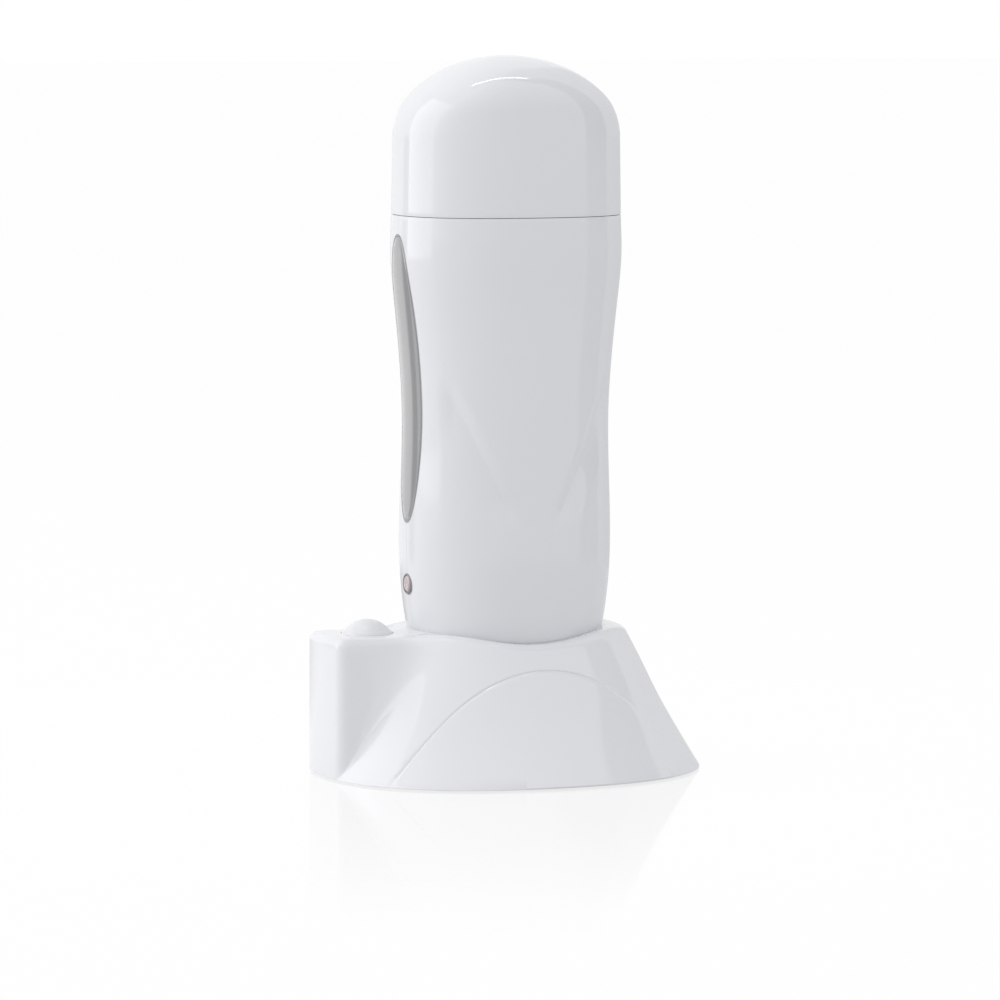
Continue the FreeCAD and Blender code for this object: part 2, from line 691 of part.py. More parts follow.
def make_handset_wires():
    """Supply wires from the pins to the board and on to the heaters."""
    pin_top = inlet_roof_z() + INLET_ROOF + CONTACT_TAIL
    board_face = BOARD_Y - 2 * WIRE_RADIUS
    for name, side in (("live", -1), ("neutral", 1)):
        x = side * PIN_PITCH / 2
        low = wire_run(
            [
                Vector(x, 0, pin_top),
                Vector(x, 0, pin_top + PIN_WIRE_RISE),
                Vector(
                    x + side * PIN_WIRE_SPREAD,
                    board_face - PIN_WIRE_STANDOFF,
                    pin_top + PIN_WIRE_ENTRY_RISE,
                ),
                Vector(
                    x + side * PIN_WIRE_SPREAD, board_face + WIRE_RADIUS, pin_top + PIN_WIRE_ENTRY_RISE
                ),
            ],
            WIRE_RADIUS,
        )
        heater_y = well_half_depth() + HEATER_GAP + HEATER_THICKNESS / 2
        x_high = side * (HEATER_HALF_WIDTH - HEATER_WIRE_INSET)
        top = BOARD_BOTTOM_Z + BOARD_HEIGHT
        high = wire_run(
            [
                Vector(x_high, BOARD_Y + BOARD_THICKNESS / 2, top),
                Vector(x_high, BOARD_Y + BOARD_THICKNESS / 2, top + HEATER_WIRE_RISE),
                Vector(x_high, heater_y, top + HEATER_WIRE_RISE),
                Vector(x_high, heater_y, HEATER_BOTTOM_Z),
            ],
            WIRE_RADIUS,
        )
        export("handset_wire_" + name, Part.makeCompound([low, high]))


# ---- Cap ----
def cap_half_size(z, inset, seam_half, shoulder_half, shoulder_radius, crown_radius):
    """Half size of the cap at a height: draft, shoulder arc, then crown arc."""
    crown = crown_radius - inset
    shoulder = shoulder_radius - inset
    reach = shoulder_half - inset - shoulder
    crown_centre = CAP_TOP_Z - inset - crown
    rise = math.sqrt((crown - shoulder) ** 2 - reach ** 2)
    shoulder_centre = crown_centre + rise
    tangent_z = crown_centre + crown * rise / (crown - shoulder)
    if z >= tangent_z:
        return math.sqrt(max(crown ** 2 - (z - crown_centre) ** 2, 0.0))
    if z >= shoulder_centre:
        return reach + math.sqrt(shoulder ** 2 - (z - shoulder_centre) ** 2)
    share = (shoulder_centre - z) / (shoulder_centre - SEAM_Z)
    return shoulder_half - inset + (seam_half - shoulder_half) * share


def cap_solid(inset, bottom_z):
    """Domed solid: evenly spaced skirt sections, then sections that close in on the crown."""
    spring_line = SEAM_Z + (CAP_TOP_Z - SEAM_Z) * CAP_SPRING_SHARE
    top = CAP_TOP_Z - inset
    heights = []
    for index in range(CAP_SKIRT_SECTIONS):
        heights.append(bottom_z + (spring_line - bottom_z) * index / CAP_SKIRT_SECTIONS)
    for index in range(CAP_CROWN_SECTIONS):
        turn = math.pi / 2 * index / CAP_CROWN_SECTIONS
        heights.append(spring_line + (top - spring_line) * math.sin(turn))
    stations = []
    for z in heights:
        half_width = cap_half_size(
            z,
            inset,
            SEAM_HALF_WIDTH,
            CAP_SHOULDER_HALF_WIDTH,
            CAP_SHOULDER_RADIUS_X,
            CAP_CROWN_RADIUS_X,
        )
        half_depth = cap_half_size(
            z,
            inset,
            SEAM_HALF_DEPTH,
            CAP_SHOULDER_HALF_DEPTH,
            CAP_SHOULDER_RADIUS_Y,
            CAP_CROWN_RADIUS_Y,
        )
        stations.append((z, half_width, half_depth))
    apex_half_depth = CAP_APEX_HALF_WIDTH * math.sqrt(CAP_CROWN_RADIUS_Y / CAP_CROWN_RADIUS_X)
    stations.append((top, CAP_APEX_HALF_WIDTH, apex_half_depth))
    return loft_sections(stations, 0, SECTION_EXPONENT)


def make_cap():
    bottom = SEAM_Z + CAP_SEAM_GAP
    outer = cap_solid(0, bottom)
    inner = cap_solid(CAP_WALL, bottom)
    export("cap_shell", outer.cut(inner))


# ---- Docking base ----
def base_stations():
    return [
        (FOOT_HEIGHT, BASE_BOTTOM_HALF_WIDTH, BASE_BOTTOM_HALF_DEPTH),
        (BASE_MID_Z, BASE_MID_HALF_WIDTH, BASE_MID_HALF_DEPTH),
        (BASE_TOP_Z, BASE_TOP_HALF_WIDTH, BASE_TOP_HALF_DEPTH),
        (
            BASE_TOP_Z + BASE_LIP_RISE,
            BASE_TOP_HALF_WIDTH - BASE_LIP_INSET,
            BASE_TOP_HALF_DEPTH - BASE_LIP_INSET,
        ),
    ]


def skirt_solid(offset):
    return loft_sections(base_stations(), offset, BASE_EXPONENT)


def saddle_space():
    """Space above the collar: its lower face is a wave along X with two peaks."""
    points = []
    for index in range(-SADDLE_POINTS, SADDLE_POINTS + 1):
        x = COLLAR_PEAK_X * index / SADDLE_POINTS
        swing = (1 - math.cos(math.pi * x / COLLAR_PEAK_X)) / 2
        points.append(Vector(x, -FAR, COLLAR_DIP_Z + (COLLAR_PEAK_Z - COLLAR_DIP_Z) * swing))
    wave = Part.BSplineCurve()
    wave.interpolate(
        Points=points, InitialTangent=Vector(1, 0, 0), FinalTangent=Vector(1, 0, 0)
    )
    left = points[0]
    right = points[-1]
    outline = [
        Part.LineSegment(Vector(-FAR, -FAR, left.z), left).toShape(),
        wave.toShape(),
        Part.LineSegment(right, Vector(FAR, -FAR, right.z)).toShape(),
        Part.LineSegment(Vector(FAR, -FAR, right.z), Vector(FAR, -FAR, FAR)).toShape(),
        Part.LineSegment(Vector(FAR, -FAR, FAR), Vector(-FAR, -FAR, FAR)).toShape(),
        Part.LineSegment(Vector(-FAR, -FAR, FAR), Vector(-FAR, -FAR, left.z)).toShape(),
    ]
    face = Part.Face(Part.Wire(outline))
    return face.extrude(Vector(0, 2 * FAR, 0))


def arch_prism():
    """Arch-shaped prism along Y through the front of the skirt."""
    crown = Vector(0, -FAR, ARCH_APEX_Z)
    curve = Part.BSplineCurve()
    curve.interpolate(
        Points=[
            Vector(-ARCH_HALF_SPAN, -FAR, 0),
            Vector(-ARCH_SHOULDER_X, -FAR, ARCH_SHOULDER_Z),
            crown,
            Vector(ARCH_SHOULDER_X, -FAR, ARCH_SHOULDER_Z),
            Vector(ARCH_HALF_SPAN, -FAR, 0),
        ]
    )
    base_line = Part.LineSegment(Vector(ARCH_HALF_SPAN, -FAR, 0), Vector(-ARCH_HALF_SPAN, -FAR, 0))
    face = Part.Face(Part.Wire([curve.toShape(), base_line.toShape()]))
    return face.extrude(Vector(0, FAR, 0))


def block_solid(inset, top_z):
    """Button block: the footprint's -X end carried straight up between two flat sides."""
    footprint = section_wire(
        BASE_BOTTOM_HALF_WIDTH - inset, BASE_BOTTOM_HALF_DEPTH - inset, FOOT_HEIGHT, BASE_EXPONENT
    )
    prism = Part.Face(footprint).extrude(Vector(0, 0, top_z - FOOT_HEIGHT))
    half = BLOCK_HALF_DEPTH - inset
    return prism.common(block_between(-FAR, -BLOCK_ROOT_X, -half, half, FOOT_HEIGHT, top_z))


def rounded_block():
    """Button block with its two end corners and its top edges rounded."""
    block = block_solid(0, BLOCK_TOP_Z)
    end_x = -BASE_BOTTOM_HALF_WIDTH / 2
    corners = []
    for edge in block.Edges:
        upright = abs(edge.tangentAt(edge.FirstParameter).z) > UPRIGHT_TANGENT
        at_side = abs(edge.CenterOfMass.y) > BLOCK_HALF_DEPTH / 2
        if upright and at_side and edge.CenterOfMass.x < end_x:
            corners.append(edge)
    block = block.makeFillet(BLOCK_CORNER_RADIUS, corners)
    rim = []
    for edge in block.Edges:
        box = edge.BoundBox
        level = box.ZMax - box.ZMin < LEVEL_TOLERANCE
        on_top = level and BLOCK_TOP_Z - box.ZMax < LEVEL_TOLERANCE
        if on_top and box.XMin < -BLOCK_ROOT_X - LEVEL_TOLERANCE:
            rim.append(edge)
    return block.makeFillet(BLOCK_EDGE_RADIUS, rim)


def collar_skirt():
    """Skirt with its raised arch panel, cut to the saddle and rounded at the lip."""
    skirt = skirt_solid(0).cut(saddle_space())
    lip = []
    for edge in skirt.Edges:
        if edge.BoundBox.ZMin > BASE_MID_Z:
            lip.append(edge)
    skirt = skirt.makeFillet(COLLAR_LIP_RADIUS, lip)
    panel = skirt_solid(ARCH_STEP).common(arch_prism())
    return skirt.fuse(panel)


def socket_floor_z():
    return HANDSET_BOTTOM_Z - SOCKET_FLOOR_GAP


def socket_solid(grow, floor_z):
    """Handset outline grown by a clearance or wall, from floor_z upwards."""
    return handset_solid(grow).common(slab(floor_z, BULGE_Z)).fuse(
        loft_sections(
            [
                (floor_z, FOOT_HALF_WIDTH, FOOT_HALF_DEPTH),
                (HANDSET_BOTTOM_Z, FOOT_HALF_WIDTH, FOOT_HALF_DEPTH),
            ],
            grow,
            SECTION_EXPONENT,
        )
    )


def plate_top_z():
    return FOOT_HEIGHT + FLOOR_PLATE_RECESS + FLOOR_PLATE


def footprint_slab(z0, z1, inset):
    """Upright slab with the footprint's outline drawn in by inset."""
    stations = []
    for z in (z0, z1):
        stations.append((z, BASE_BOTTOM_HALF_WIDTH, BASE_BOTTOM_HALF_DEPTH))
    return loft_sections(stations, -inset, BASE_EXPONENT)


def make_base_housing():
    outer = collar_skirt().fuse(rounded_block())
    cup = socket_solid(SOCKET_CLEARANCE + SOCKET_WALL, socket_floor_z() - SOCKET_FLOOR)
    room = skirt_solid(-BASE_WALL).common(slab(0, BASE_CEILING_Z))
    block_room = block_solid(BASE_WALL, BLOCK_TOP_Z - BASE_WALL)
    hollow = room.fuse(block_room).cut(cup)
    mouth = socket_solid(SOCKET_CLEARANCE, socket_floor_z())
    housing = outer.cut(hollow).cut(mouth)
    housing = housing.cut(footprint_slab(0, plate_top_z(), BASE_WALL + BASE_FLOOR_STEP))
    core = skirt_solid(-BASE_WALL / 2).common(slab(plate_top_z(), BASE_CEILING_Z))
    for side_x in (-1, 1):
        for side_y in (-1, 1):
            x = side_x * BASE_SCREW_X
            y = side_y * BASE_SCREW_Y
            boss = cylinder_z(x, y, plate_top_z(), BASE_CEILING_Z, BASE_BOSS_RADIUS).common(core)
            housing = housing.fuse(boss)
            housing = housing.cut(
                cylinder_z(x, y, plate_top_z(), plate_top_z() + BASE_SCREW_LENGTH, BASE_SCREW_RADIUS)
            )
    housing = housing.cut(
        cylinder_z(BUTTON_X, 0, BLOCK_TOP_Z - 2 * BASE_WALL, FAR, BUTTON_RADIUS + BUTTON_CLEARANCE)
    )
    housing = housing.cut(
        stadium_prism(
            INLET_CAVITY_LENGTH - 2 * TOWER_CLEARANCE,
            INLET_CAVITY_WIDTH - 2 * TOWER_CLEARANCE,
            socket_floor_z() - SOCKET_FLOOR - OVERSHOOT,
            socket_floor_z() + OVERSHOOT,
        )
    )
    housing = housing.cut(cylinder_y(GLAND_X, GLAND_Z, 0, FAR / 2, GLAND_RADIUS))
    export("base_housing", housing)


def make_floor_plate():
    """Bottom plate with foot pockets and counterbored screw seats, feet and screws."""
    low = FOOT_HEIGHT + FLOOR_PLATE_RECESS
    top = plate_top_z()
    plate = footprint_slab(low, top, BASE_WALL + BASE_FLOOR_STEP + FLOOR_PLATE_GAP)
    feet = []
    screws = []
    for side_x in (-1, 1):
        for side_y in (-1, 1):
            x = side_x * PAD_X
            y = side_y * PAD_Y
            plate = plate.cut(cylinder_z(x, y, 0, low + PAD_POCKET, PAD_RADIUS + PAD_POCKET_CLEARANCE))
            feet.append(cylinder_z(x, y, 0, low + PAD_POCKET, PAD_RADIUS))
            x = side_x * BASE_SCREW_X
            y = side_y * BASE_SCREW_Y
            seat = low + BASE_SCREW_HEAD_HEIGHT
            plate = plate.cut(cylinder_z(x, y, 0, FAR, BASE_SCREW_RADIUS))
            plate = plate.cut(cylinder_z(x, y, 0, seat, BASE_SCREW_HEAD_RADIUS + PAD_POCKET_CLEARANCE))
            length = top - seat + BASE_SCREW_LENGTH
            screws.append(
                pan_screw_up(
                    x, y, seat, length, BASE_SCREW_RADIUS, BASE_SCREW_HEAD_RADIUS, BASE_SCREW_HEAD_HEIGHT
                )
            )
    for side_x in (-1, 1):
        for side_y in (-1, 1):
            x = BUTTON_X + side_x * POST_SPREAD
            y = side_y * POST_SPREAD
            plate = plate.fuse(cylinder_z(x, y, low, SWITCH_BOARD_TOP_Z - BOARD_THICKNESS, POST_RADIUS))
    export("base_floor_plate", plate)
    export("rubber_feet", Part.makeCompound(feet))
    export("base_screws", Part.makeCompound(screws))


def make_dock_connector():
    """Upstanding connector whose two sockets take the handset's pins."""
    floor = socket_floor_z()
    length = INLET_CAVITY_LENGTH - 2 * TOWER_CLEARANCE
    width = INLET_CAVITY_WIDTH - 2 * TOWER_CLEARANCE
    under = floor - SOCKET_FLOOR
    tower = stadium_prism(length, width, under, floor + TOWER_HEIGHT)
    flange = stadium_prism(
        length + 2 * TOWER_FLANGE, width + 2 * TOWER_FLANGE, under - TOWER_FLANGE_THICKNESS, under
    )
    connector = tower.fuse(flange)
    contacts = []
    for side in (-1, 1):
        x = side * PIN_PITCH / 2
        bottom = under - TOWER_FLANGE_THICKNESS
        top = floor + TOWER_HEIGHT - CONTACT_LEDGE
        connector = connector.cut(cylinder_z(x, 0, bottom - OVERSHOOT, top, CONTACT_RADIUS))
        connector = connector.cut(cylinder_z(x, 0, top, top + 2 * CONTACT_LEDGE, CONTACT_BORE_RADIUS))
        tube = cylinder_z(x, 0, bottom - CONTACT_TAIL, top, CONTACT_RADIUS)
        contacts.append(tube.cut(cylinder_z(x, 0, bottom, top + OVERSHOOT, CONTACT_BORE_RADIUS)))
    export("dock_connector", connector.removeSplitter())
    export("dock_contacts", Part.makeCompound(contacts))


def button_flange_bottom_z():
    return BLOCK_TOP_Z - BASE_WALL - BUTTON_CLEARANCE - BUTTON_FLANGE


def switch_top_z():
    return SWITCH_BOARD_TOP_Z + SWITCH_HEIGHT


def make_power_button():
    """Domed button with its stem, and the switch plunger that the stem carries."""
    shoulder = BLOCK_TOP_Z + BUTTON_RIM_HEIGHT
    dome_radius = (BUTTON_RADIUS ** 2 + BUTTON_DOME_HEIGHT ** 2) / (2 * BUTTON_DOME_HEIGHT)
    ball = Part.makeSphere(dome_radius, Vector(BUTTON_X, 0, shoulder + BUTTON_DOME_HEIGHT - dome_radius))
    dome = ball.common(
        cylinder_z(BUTTON_X, 0, shoulder, shoulder + 2 * BUTTON_DOME_HEIGHT, 2 * BUTTON_RADIUS)
    )
    bottom = button_flange_bottom_z()
    barrel = cylinder_z(BUTTON_X, 0, bottom, shoulder, BUTTON_RADIUS)
    flange = cylinder_z(BUTTON_X, 0, bottom, bottom + BUTTON_FLANGE, BUTTON_FLANGE_RADIUS)
    stem_bottom = switch_top_z() + BUTTON_TRAVEL + BUTTON_CLEARANCE
    stem = cylinder_z(BUTTON_X, 0, stem_bottom, bottom, BUTTON_STEM_RADIUS)
    export("power_button", dome.multiFuse([barrel, flange, stem]).removeSplitter())
    plunger = cylinder_z(
        BUTTON_X, 0, switch_top_z() - SWITCH_PLUNGER_DEPTH, stem_bottom, SWITCH_PLUNGER_RADIUS
    )
    export("switch_plunger", plunger)


def make_button_spring():
    """Moulded rubber bellows between the switch's top and the button's flange."""
    low = switch_top_z()
    high = button_flange_bottom_z()
    outer = []
    inner = []
    for index in range(2 * BELLOWS_FOLDS + 1):
        z = low + (high - low) * index / (2 * BELLOWS_FOLDS)
        radius = BELLOWS_RADIUS + BELLOWS_WAVE * (index % 2)
        outer.append(Vector(radius, 0, z))
        inner.append(Vector(radius - BELLOWS_WALL, 0, z))
    outline = outer + inner[::-1] + outer[:1]
    bellows = Part.Face(Part.makePolygon(outline)).revolve(Vector(0, 0, 0), Vector(0, 0, 1), 360)
    bellows.translate(Vector(BUTTON_X, 0, 0))
    export("button_spring", bellows)


def make_switch():
    """Push switch with its plunger bore, soldered on a board on the floor's posts."""
    half = SWITCH_SIZE / 2
    body = block_between(
        BUTTON_X - half, BUTTON_X + half, -half, half, SWITCH_BOARD_TOP_Z, switch_top_z()
    )
    bore_bottom = switch_top_z() - SWITCH_PLUNGER_DEPTH - BUTTON_TRAVEL - BUTTON_CLEARANCE
    bore = cylinder_z(
        BUTTON_X, 0, bore_bottom, switch_top_z(), SWITCH_PLUNGER_RADIUS + BUTTON_CLEARANCE
    )
    export("switch_body", body.cut(bore))
    board = block_between(
        BUTTON_X - SWITCH_BOARD_HALF_WIDTH,
        BUTTON_X + SWITCH_BOARD_HALF_WIDTH,
        -SWITCH_BOARD_HALF_WIDTH,
        SWITCH_BOARD_HALF_WIDTH,
        SWITCH_BOARD_TOP_Z - BOARD_THICKNESS,
        SWITCH_BOARD_TOP_Z,
    )
    export("switch_board", board)


def make_cord_gland():
    """Rubber grommet in the block's rear wall, bored for the supply cord."""
    outside = BLOCK_HALF_DEPTH
    inside = BLOCK_HALF_DEPTH - BASE_WALL
    barrel = cylinder_y(GLAND_X, GLAND_Z, inside, outside, GLAND_RADIUS)
    outer_flange = cylinder_y(GLAND_X, GLAND_Z, outside, outside + GLAND_FLANGE, GLAND_FLANGE_RADIUS)
    inner_flange = cylinder_y(GLAND_X, GLAND_Z, inside - GLAND_FLANGE, inside, GLAND_FLANGE_RADIUS)
    gland = barrel.multiFuse([outer_flange, inner_flange])
    gland = gland.cut(cylinder_y(GLAND_X, GLAND_Z, 0, FAR, GLAND_BORE_RADIUS))
    export("cord_gland", gland.removeSplitter())


def make_terminal_block():
    """Two-way terminal block on the floor plate, where the supply cord ends."""
    block = block_between(
        TERMINAL_X - TERMINAL_LENGTH / 2,
        TERMINAL_X + TERMINAL_LENGTH / 2,
        TERMINAL_Y - TERMINAL_WIDTH / 2,
        TERMINAL_Y + TERMINAL_WIDTH / 2,
        plate_top_z(),
        plate_top_z() + TERMINAL_HEIGHT,
    )
    screws = []
    for side in (-1, 1):
        x = TERMINAL_X + side * TERMINAL_LENGTH / 4
        top = plate_top_z() + TERMINAL_HEIGHT
        floor = top - TERMINAL_HEIGHT / 2
        block = block.cut(cylinder_z(x, TERMINAL_Y, floor, top, TERMINAL_WELL_RADIUS))
        screws.append(
            cylinder_z(x, TERMINAL_Y, floor, top - TERMINAL_SCREW_DEPTH, TERMINAL_SCREW_RADIUS)
        )
    export("terminal_block", block)
    export("terminal_screws", Part.makeCompound(screws))


def make_base_wires():
    """Live and neutral wires from the terminal block through the switch to the contacts."""
    tail_z = socket_floor_z() - SOCKET_FLOOR - TOWER_FLANGE_THICKNESS - CONTACT_TAIL
    low_z = plate_top_z() + BASE_WIRE_LIFT
    entry_y = TERMINAL_Y - TERMINAL_WIDTH / 2
    terminal_z = plate_top_z() + TERMINAL_HEIGHT / 2
    board_z = SWITCH_BOARD_TOP_Z - BOARD_THICKNESS
    live_x = TERMINAL_X - TERMINAL_LENGTH / 4
    neutral_x = TERMINAL_X + TERMINAL_LENGTH / 4
    contact_x = PIN_PITCH / 2
    to_switch = wire_run(
        [
            Vector(live_x, entry_y, terminal_z),
            Vector(live_x, entry_y - BASE_WIRE_LEAD, terminal_z),
            Vector(BUTTON_X + SWITCH_WIRE_SPREAD, 0, terminal_z),
            Vector(BUTTON_X + SWITCH_WIRE_SPREAD, 0, board_z),
        ],
        WIRE_RADIUS,
    )
    to_contact = wire_run(
        [
            Vector(BUTTON_X - SWITCH_WIRE_SPREAD, -SWITCH_WIRE_SPREAD, board_z),
            Vector(BUTTON_X - SWITCH_WIRE_SPREAD, -SWITCH_WIRE_SPREAD, low_z + SWITCH_WIRE_SPREAD),
            Vector(-contact_x - BASE_WIRE_SWEEP, -BASE_WIRE_BOW, low_z),
            Vector(-contact_x, 0, low_z),
            Vector(-contact_x, 0, tail_z),
        ],
        WIRE_RADIUS,
    )
    export("base_wire_live", Part.makeCompound([to_switch, to_contact]))
    neutral = wire_run(
        [
            Vector(neutral_x, entry_y, terminal_z),
            Vector(neutral_x, entry_y - BASE_WIRE_BOW, terminal_z),
            Vector(contact_x, 0, low_z),
            Vector(contact_x, 0, tail_z),
        ],
        WIRE_RADIUS,
    )
    export("base_wire_neutral", neutral)


os.makedirs("parts", exist_ok=True)
make_handset_shells()
make_window()
make_indicator()
make_neck_ring()
make_heating_well()
make_heaters()
make_handset_inlet()
make_handset_board()
make_handset_screws()
make_handset_wires()
make_cap()
make_base_housing()
make_floor_plate()
make_dock_connector()
make_power_button()
make_button_spring()
make_switch()
make_cord_gland()
make_terminal_block()
make_base_wires()
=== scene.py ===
import math

import bmesh
import bpy
import numpy as np
from mathutils import Matrix, Vector


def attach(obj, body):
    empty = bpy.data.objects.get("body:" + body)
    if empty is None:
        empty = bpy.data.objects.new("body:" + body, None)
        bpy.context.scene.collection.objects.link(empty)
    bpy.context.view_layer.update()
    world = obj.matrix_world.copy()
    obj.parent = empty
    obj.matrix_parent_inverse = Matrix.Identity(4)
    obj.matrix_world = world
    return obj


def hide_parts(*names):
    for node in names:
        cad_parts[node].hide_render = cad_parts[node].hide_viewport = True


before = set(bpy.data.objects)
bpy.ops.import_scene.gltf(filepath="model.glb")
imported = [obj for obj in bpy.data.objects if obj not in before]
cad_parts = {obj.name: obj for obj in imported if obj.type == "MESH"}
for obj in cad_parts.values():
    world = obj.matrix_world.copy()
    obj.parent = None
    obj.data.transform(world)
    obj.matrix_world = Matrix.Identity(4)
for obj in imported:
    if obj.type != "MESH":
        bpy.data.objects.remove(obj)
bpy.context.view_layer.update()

# ---- Camera ----
# A long lens a little above the heater's middle, turned to the side that carries the level
# window, so that this narrow side just shows. The tiny roll is the way it stood.
camera_azimuth = math.radians(-22)
camera_distance = 1.767
camera_height = 0.257
camera_pitch = math.radians(5.683)
camera_roll = math.radians(0.27)

camera_data = bpy.data.cameras.new("studio_camera")
camera_data.sensor_width = 36
camera_data.lens = 212.04
camera_data.shift_x = -0.0047
camera_data.clip_start = 0.1
camera_data.clip_end = 40
camera = bpy.data.objects.new("studio_camera", camera_data)
camera.matrix_world = (
    Matrix.Rotation(camera_azimuth, 4, "Z")
    @ Matrix.Rotation(math.pi / 2 - camera_pitch, 4, "X")
    @ Matrix.Rotation(camera_roll, 4, "Z")
)
camera.location = (
    math.sin(camera_azimuth) * camera_distance,
    -math.cos(camera_azimuth) * camera_distance,
    camera_height,
)
bpy.context.collection.objects.link(camera)
bpy.context.scene.camera = camera
bpy.context.scene.view_settings.view_transform = "Standard"


# ---- Studio light and floor ----
# A white light tent: a broad soft lamp at the heater's left, a narrow strip overhead, and an
# even glow from all round. Its panels leave a dark slit at the right, and the white acrylic
# sheet that the heater stands on mirrors weakly round its foot.
def linear(hex_colour):
    """sRGB hex to the linear RGBA that shaders take."""
    channels = []
    for start in (1, 3, 5):
        value = int(hex_colour[start : start + 2], 16) / 255
        channels.append(value / 12.92 if value <= 0.04045 else ((value + 0.055) / 1.055) ** 2.4)
    return (*channels, 1.0)


def add_node(tree, kind, sockets=None, links=None, **properties):
    """One node with its socket values, its incoming links and its properties."""
    node = tree.nodes.new(kind)
    for name, value in properties.items():
        setattr(node, name, value)
    for name, value in (sockets or {}).items():
        node.inputs[name].default_value = value
    for name, source in (links or {}).items():
        tree.links.new(source, node.inputs[name])
    return node


def aim_lamp(name, place, width, height, power):
    """Rectangular soft lamp that faces the heater's middle."""
    data = bpy.data.lights.new(name, "AREA")
    data.shape = "RECTANGLE"
    data.size = width
    data.size_y = height
    data.energy = power
    lamp = bpy.data.objects.new(name, data)
    lamp.location = place
    heater_middle = Vector((0, 0, 0.11))
    lamp.rotation_euler = (lamp.location - heater_middle).to_track_quat("Z", "Y").to_euler()
    bpy.context.collection.objects.link(lamp)


def tent_panels(tree, direction, stops):
    """Panel brightness all round: stops are (azimuth from the front in degrees, grey)."""
    apart = add_node(tree, "ShaderNodeSeparateXYZ", links={"Vector": direction})
    links = {0: apart.outputs["X"], 1: apart.outputs["Y"]}
    azimuth = add_node(tree, "ShaderNodeMath", links=links, operation="ARCTAN2")
    span = {"From Min": -math.pi, "From Max": math.pi}
    turn = add_node(tree, "ShaderNodeMapRange", span, {"Value": azimuth.outputs[0]})
    ramp = add_node(tree, "ShaderNodeValToRGB", links={"Fac": turn.outputs["Result"]})
    elements = ramp.color_ramp.elements
    first_grey = stops[0][1]
    for end in (0, 1):
        elements[end].color = (first_grey, first_grey, first_grey, 1)
    for degrees, grey in stops:
        elements.new(((360 - degrees) % 360) / 360).color = (grey, grey, grey, 1)
    return ramp.outputs["Color"]


def choose(tree, share, shader, otherwise):
    """The first shader where share is 1, the other one where it is 0."""
    links = {0: share, 1: otherwise.outputs[0], 2: shader.outputs[0]}
    return add_node(tree, "ShaderNodeMixShader", links=links)


aim_lamp("left_softbox", (-1.39, 0.5, 0.5), 1.6, 2.0, 12.0)
aim_lamp("overhead_strip", (0.04, 0.1, 1.4), 0.85, 0.06, 1.3)

tent = bpy.data.worlds.new("white_tent")
bpy.context.scene.world = tent
tent.use_nodes = True
tree = tent.node_tree
tree.nodes.clear()
light_path = add_node(tree, "ShaderNodeLightPath")
ambient = add_node(tree, "ShaderNodeBackground", {"Color": linear("#fbfcff"), "Strength": 0.9})
direction = add_node(tree, "ShaderNodeTexCoord")
panel_stops = [(54, 1.0), (56, 0.08), (86, 0.08), (88, 0.85), (110, 0.7), (145, 0.7), (150, 1.0)]
panel_stops.extend([(-84, 1.0), (-80, 1.5), (-66, 1.2), (-50, 1.0)])
panel_grey = tent_panels(tree, direction.outputs["Generated"], panel_stops)
panels = add_node(tree, "ShaderNodeBackground", {"Strength": 1.0}, {"Color": panel_grey})
backdrop = add_node(tree, "ShaderNodeBackground", {"Color": (1, 1, 1, 1), "Strength": 1.0})
mirrored = choose(tree, light_path.outputs["Is Glossy Ray"], panels, ambient)
through_glass = choose(tree, light_path.outputs["Is Transmission Ray"], backdrop, mirrored)
seen = choose(tree, light_path.outputs["Is Camera Ray"], backdrop, through_glass)
add_node(tree, "ShaderNodeOutputWorld", links={"Surface": seen.outputs[0]})

floor_half = 8
floor_corners = [(-1, -1), (1, -1), (1, 1), (-1, 1)]
floor_mesh = bpy.data.meshes.new("studio_floor")
floor_mesh.from_pydata(
    [(x * floor_half, y * floor_half, 0) for x, y in floor_corners], [], [(0, 1, 2, 3)]
)
floor = bpy.data.objects.new("studio_floor", floor_mesh)
bpy.context.collection.objects.link(floor)

# lit from below: the eye takes it as pure white, with a shadow and a weak mirror image round
# the foot that fade out by a third of a metre
acrylic = bpy.data.materials.new("white_acrylic_sheet")
acrylic.use_nodes = True
tree = acrylic.node_tree
tree.nodes.clear()
light_path = add_node(tree, "ShaderNodeLightPath")
lit = add_node(tree, "ShaderNodeBsdfDiffuse", {"Color": linear("#e4e4e4")})
glow = add_node(tree, "ShaderNodeEmission", {"Color": (1, 1, 1, 1), "Strength": 1.0})
glow_share = 0.96
seen_sheet = add_node(
    tree, "ShaderNodeMixShader", {0: glow_share}, {1: lit.outputs[0], 2: glow.outputs[0]}
)
polish = add_node(tree, "ShaderNodeBsdfGlossy", {"Color": (1, 1, 1, 1), "Roughness": 0.06})
place = add_node(tree, "ShaderNodeTexCoord")
reach = add_node(
    tree, "ShaderNodeVectorMath", links={0: place.outputs["Object"]}, operation="LENGTH"
)
fade = add_node(
    tree,
    "ShaderNodeMapRange",
    {"From Min": 0.06, "From Max": 0.33, "To Min": 0.22, "To Max": 0.0},
    {"Value": reach.outputs["Value"]},
    interpolation_type="SMOOTHSTEP",
)
seen_polish = choose(tree, fade.outputs["Result"], polish, seen_sheet)

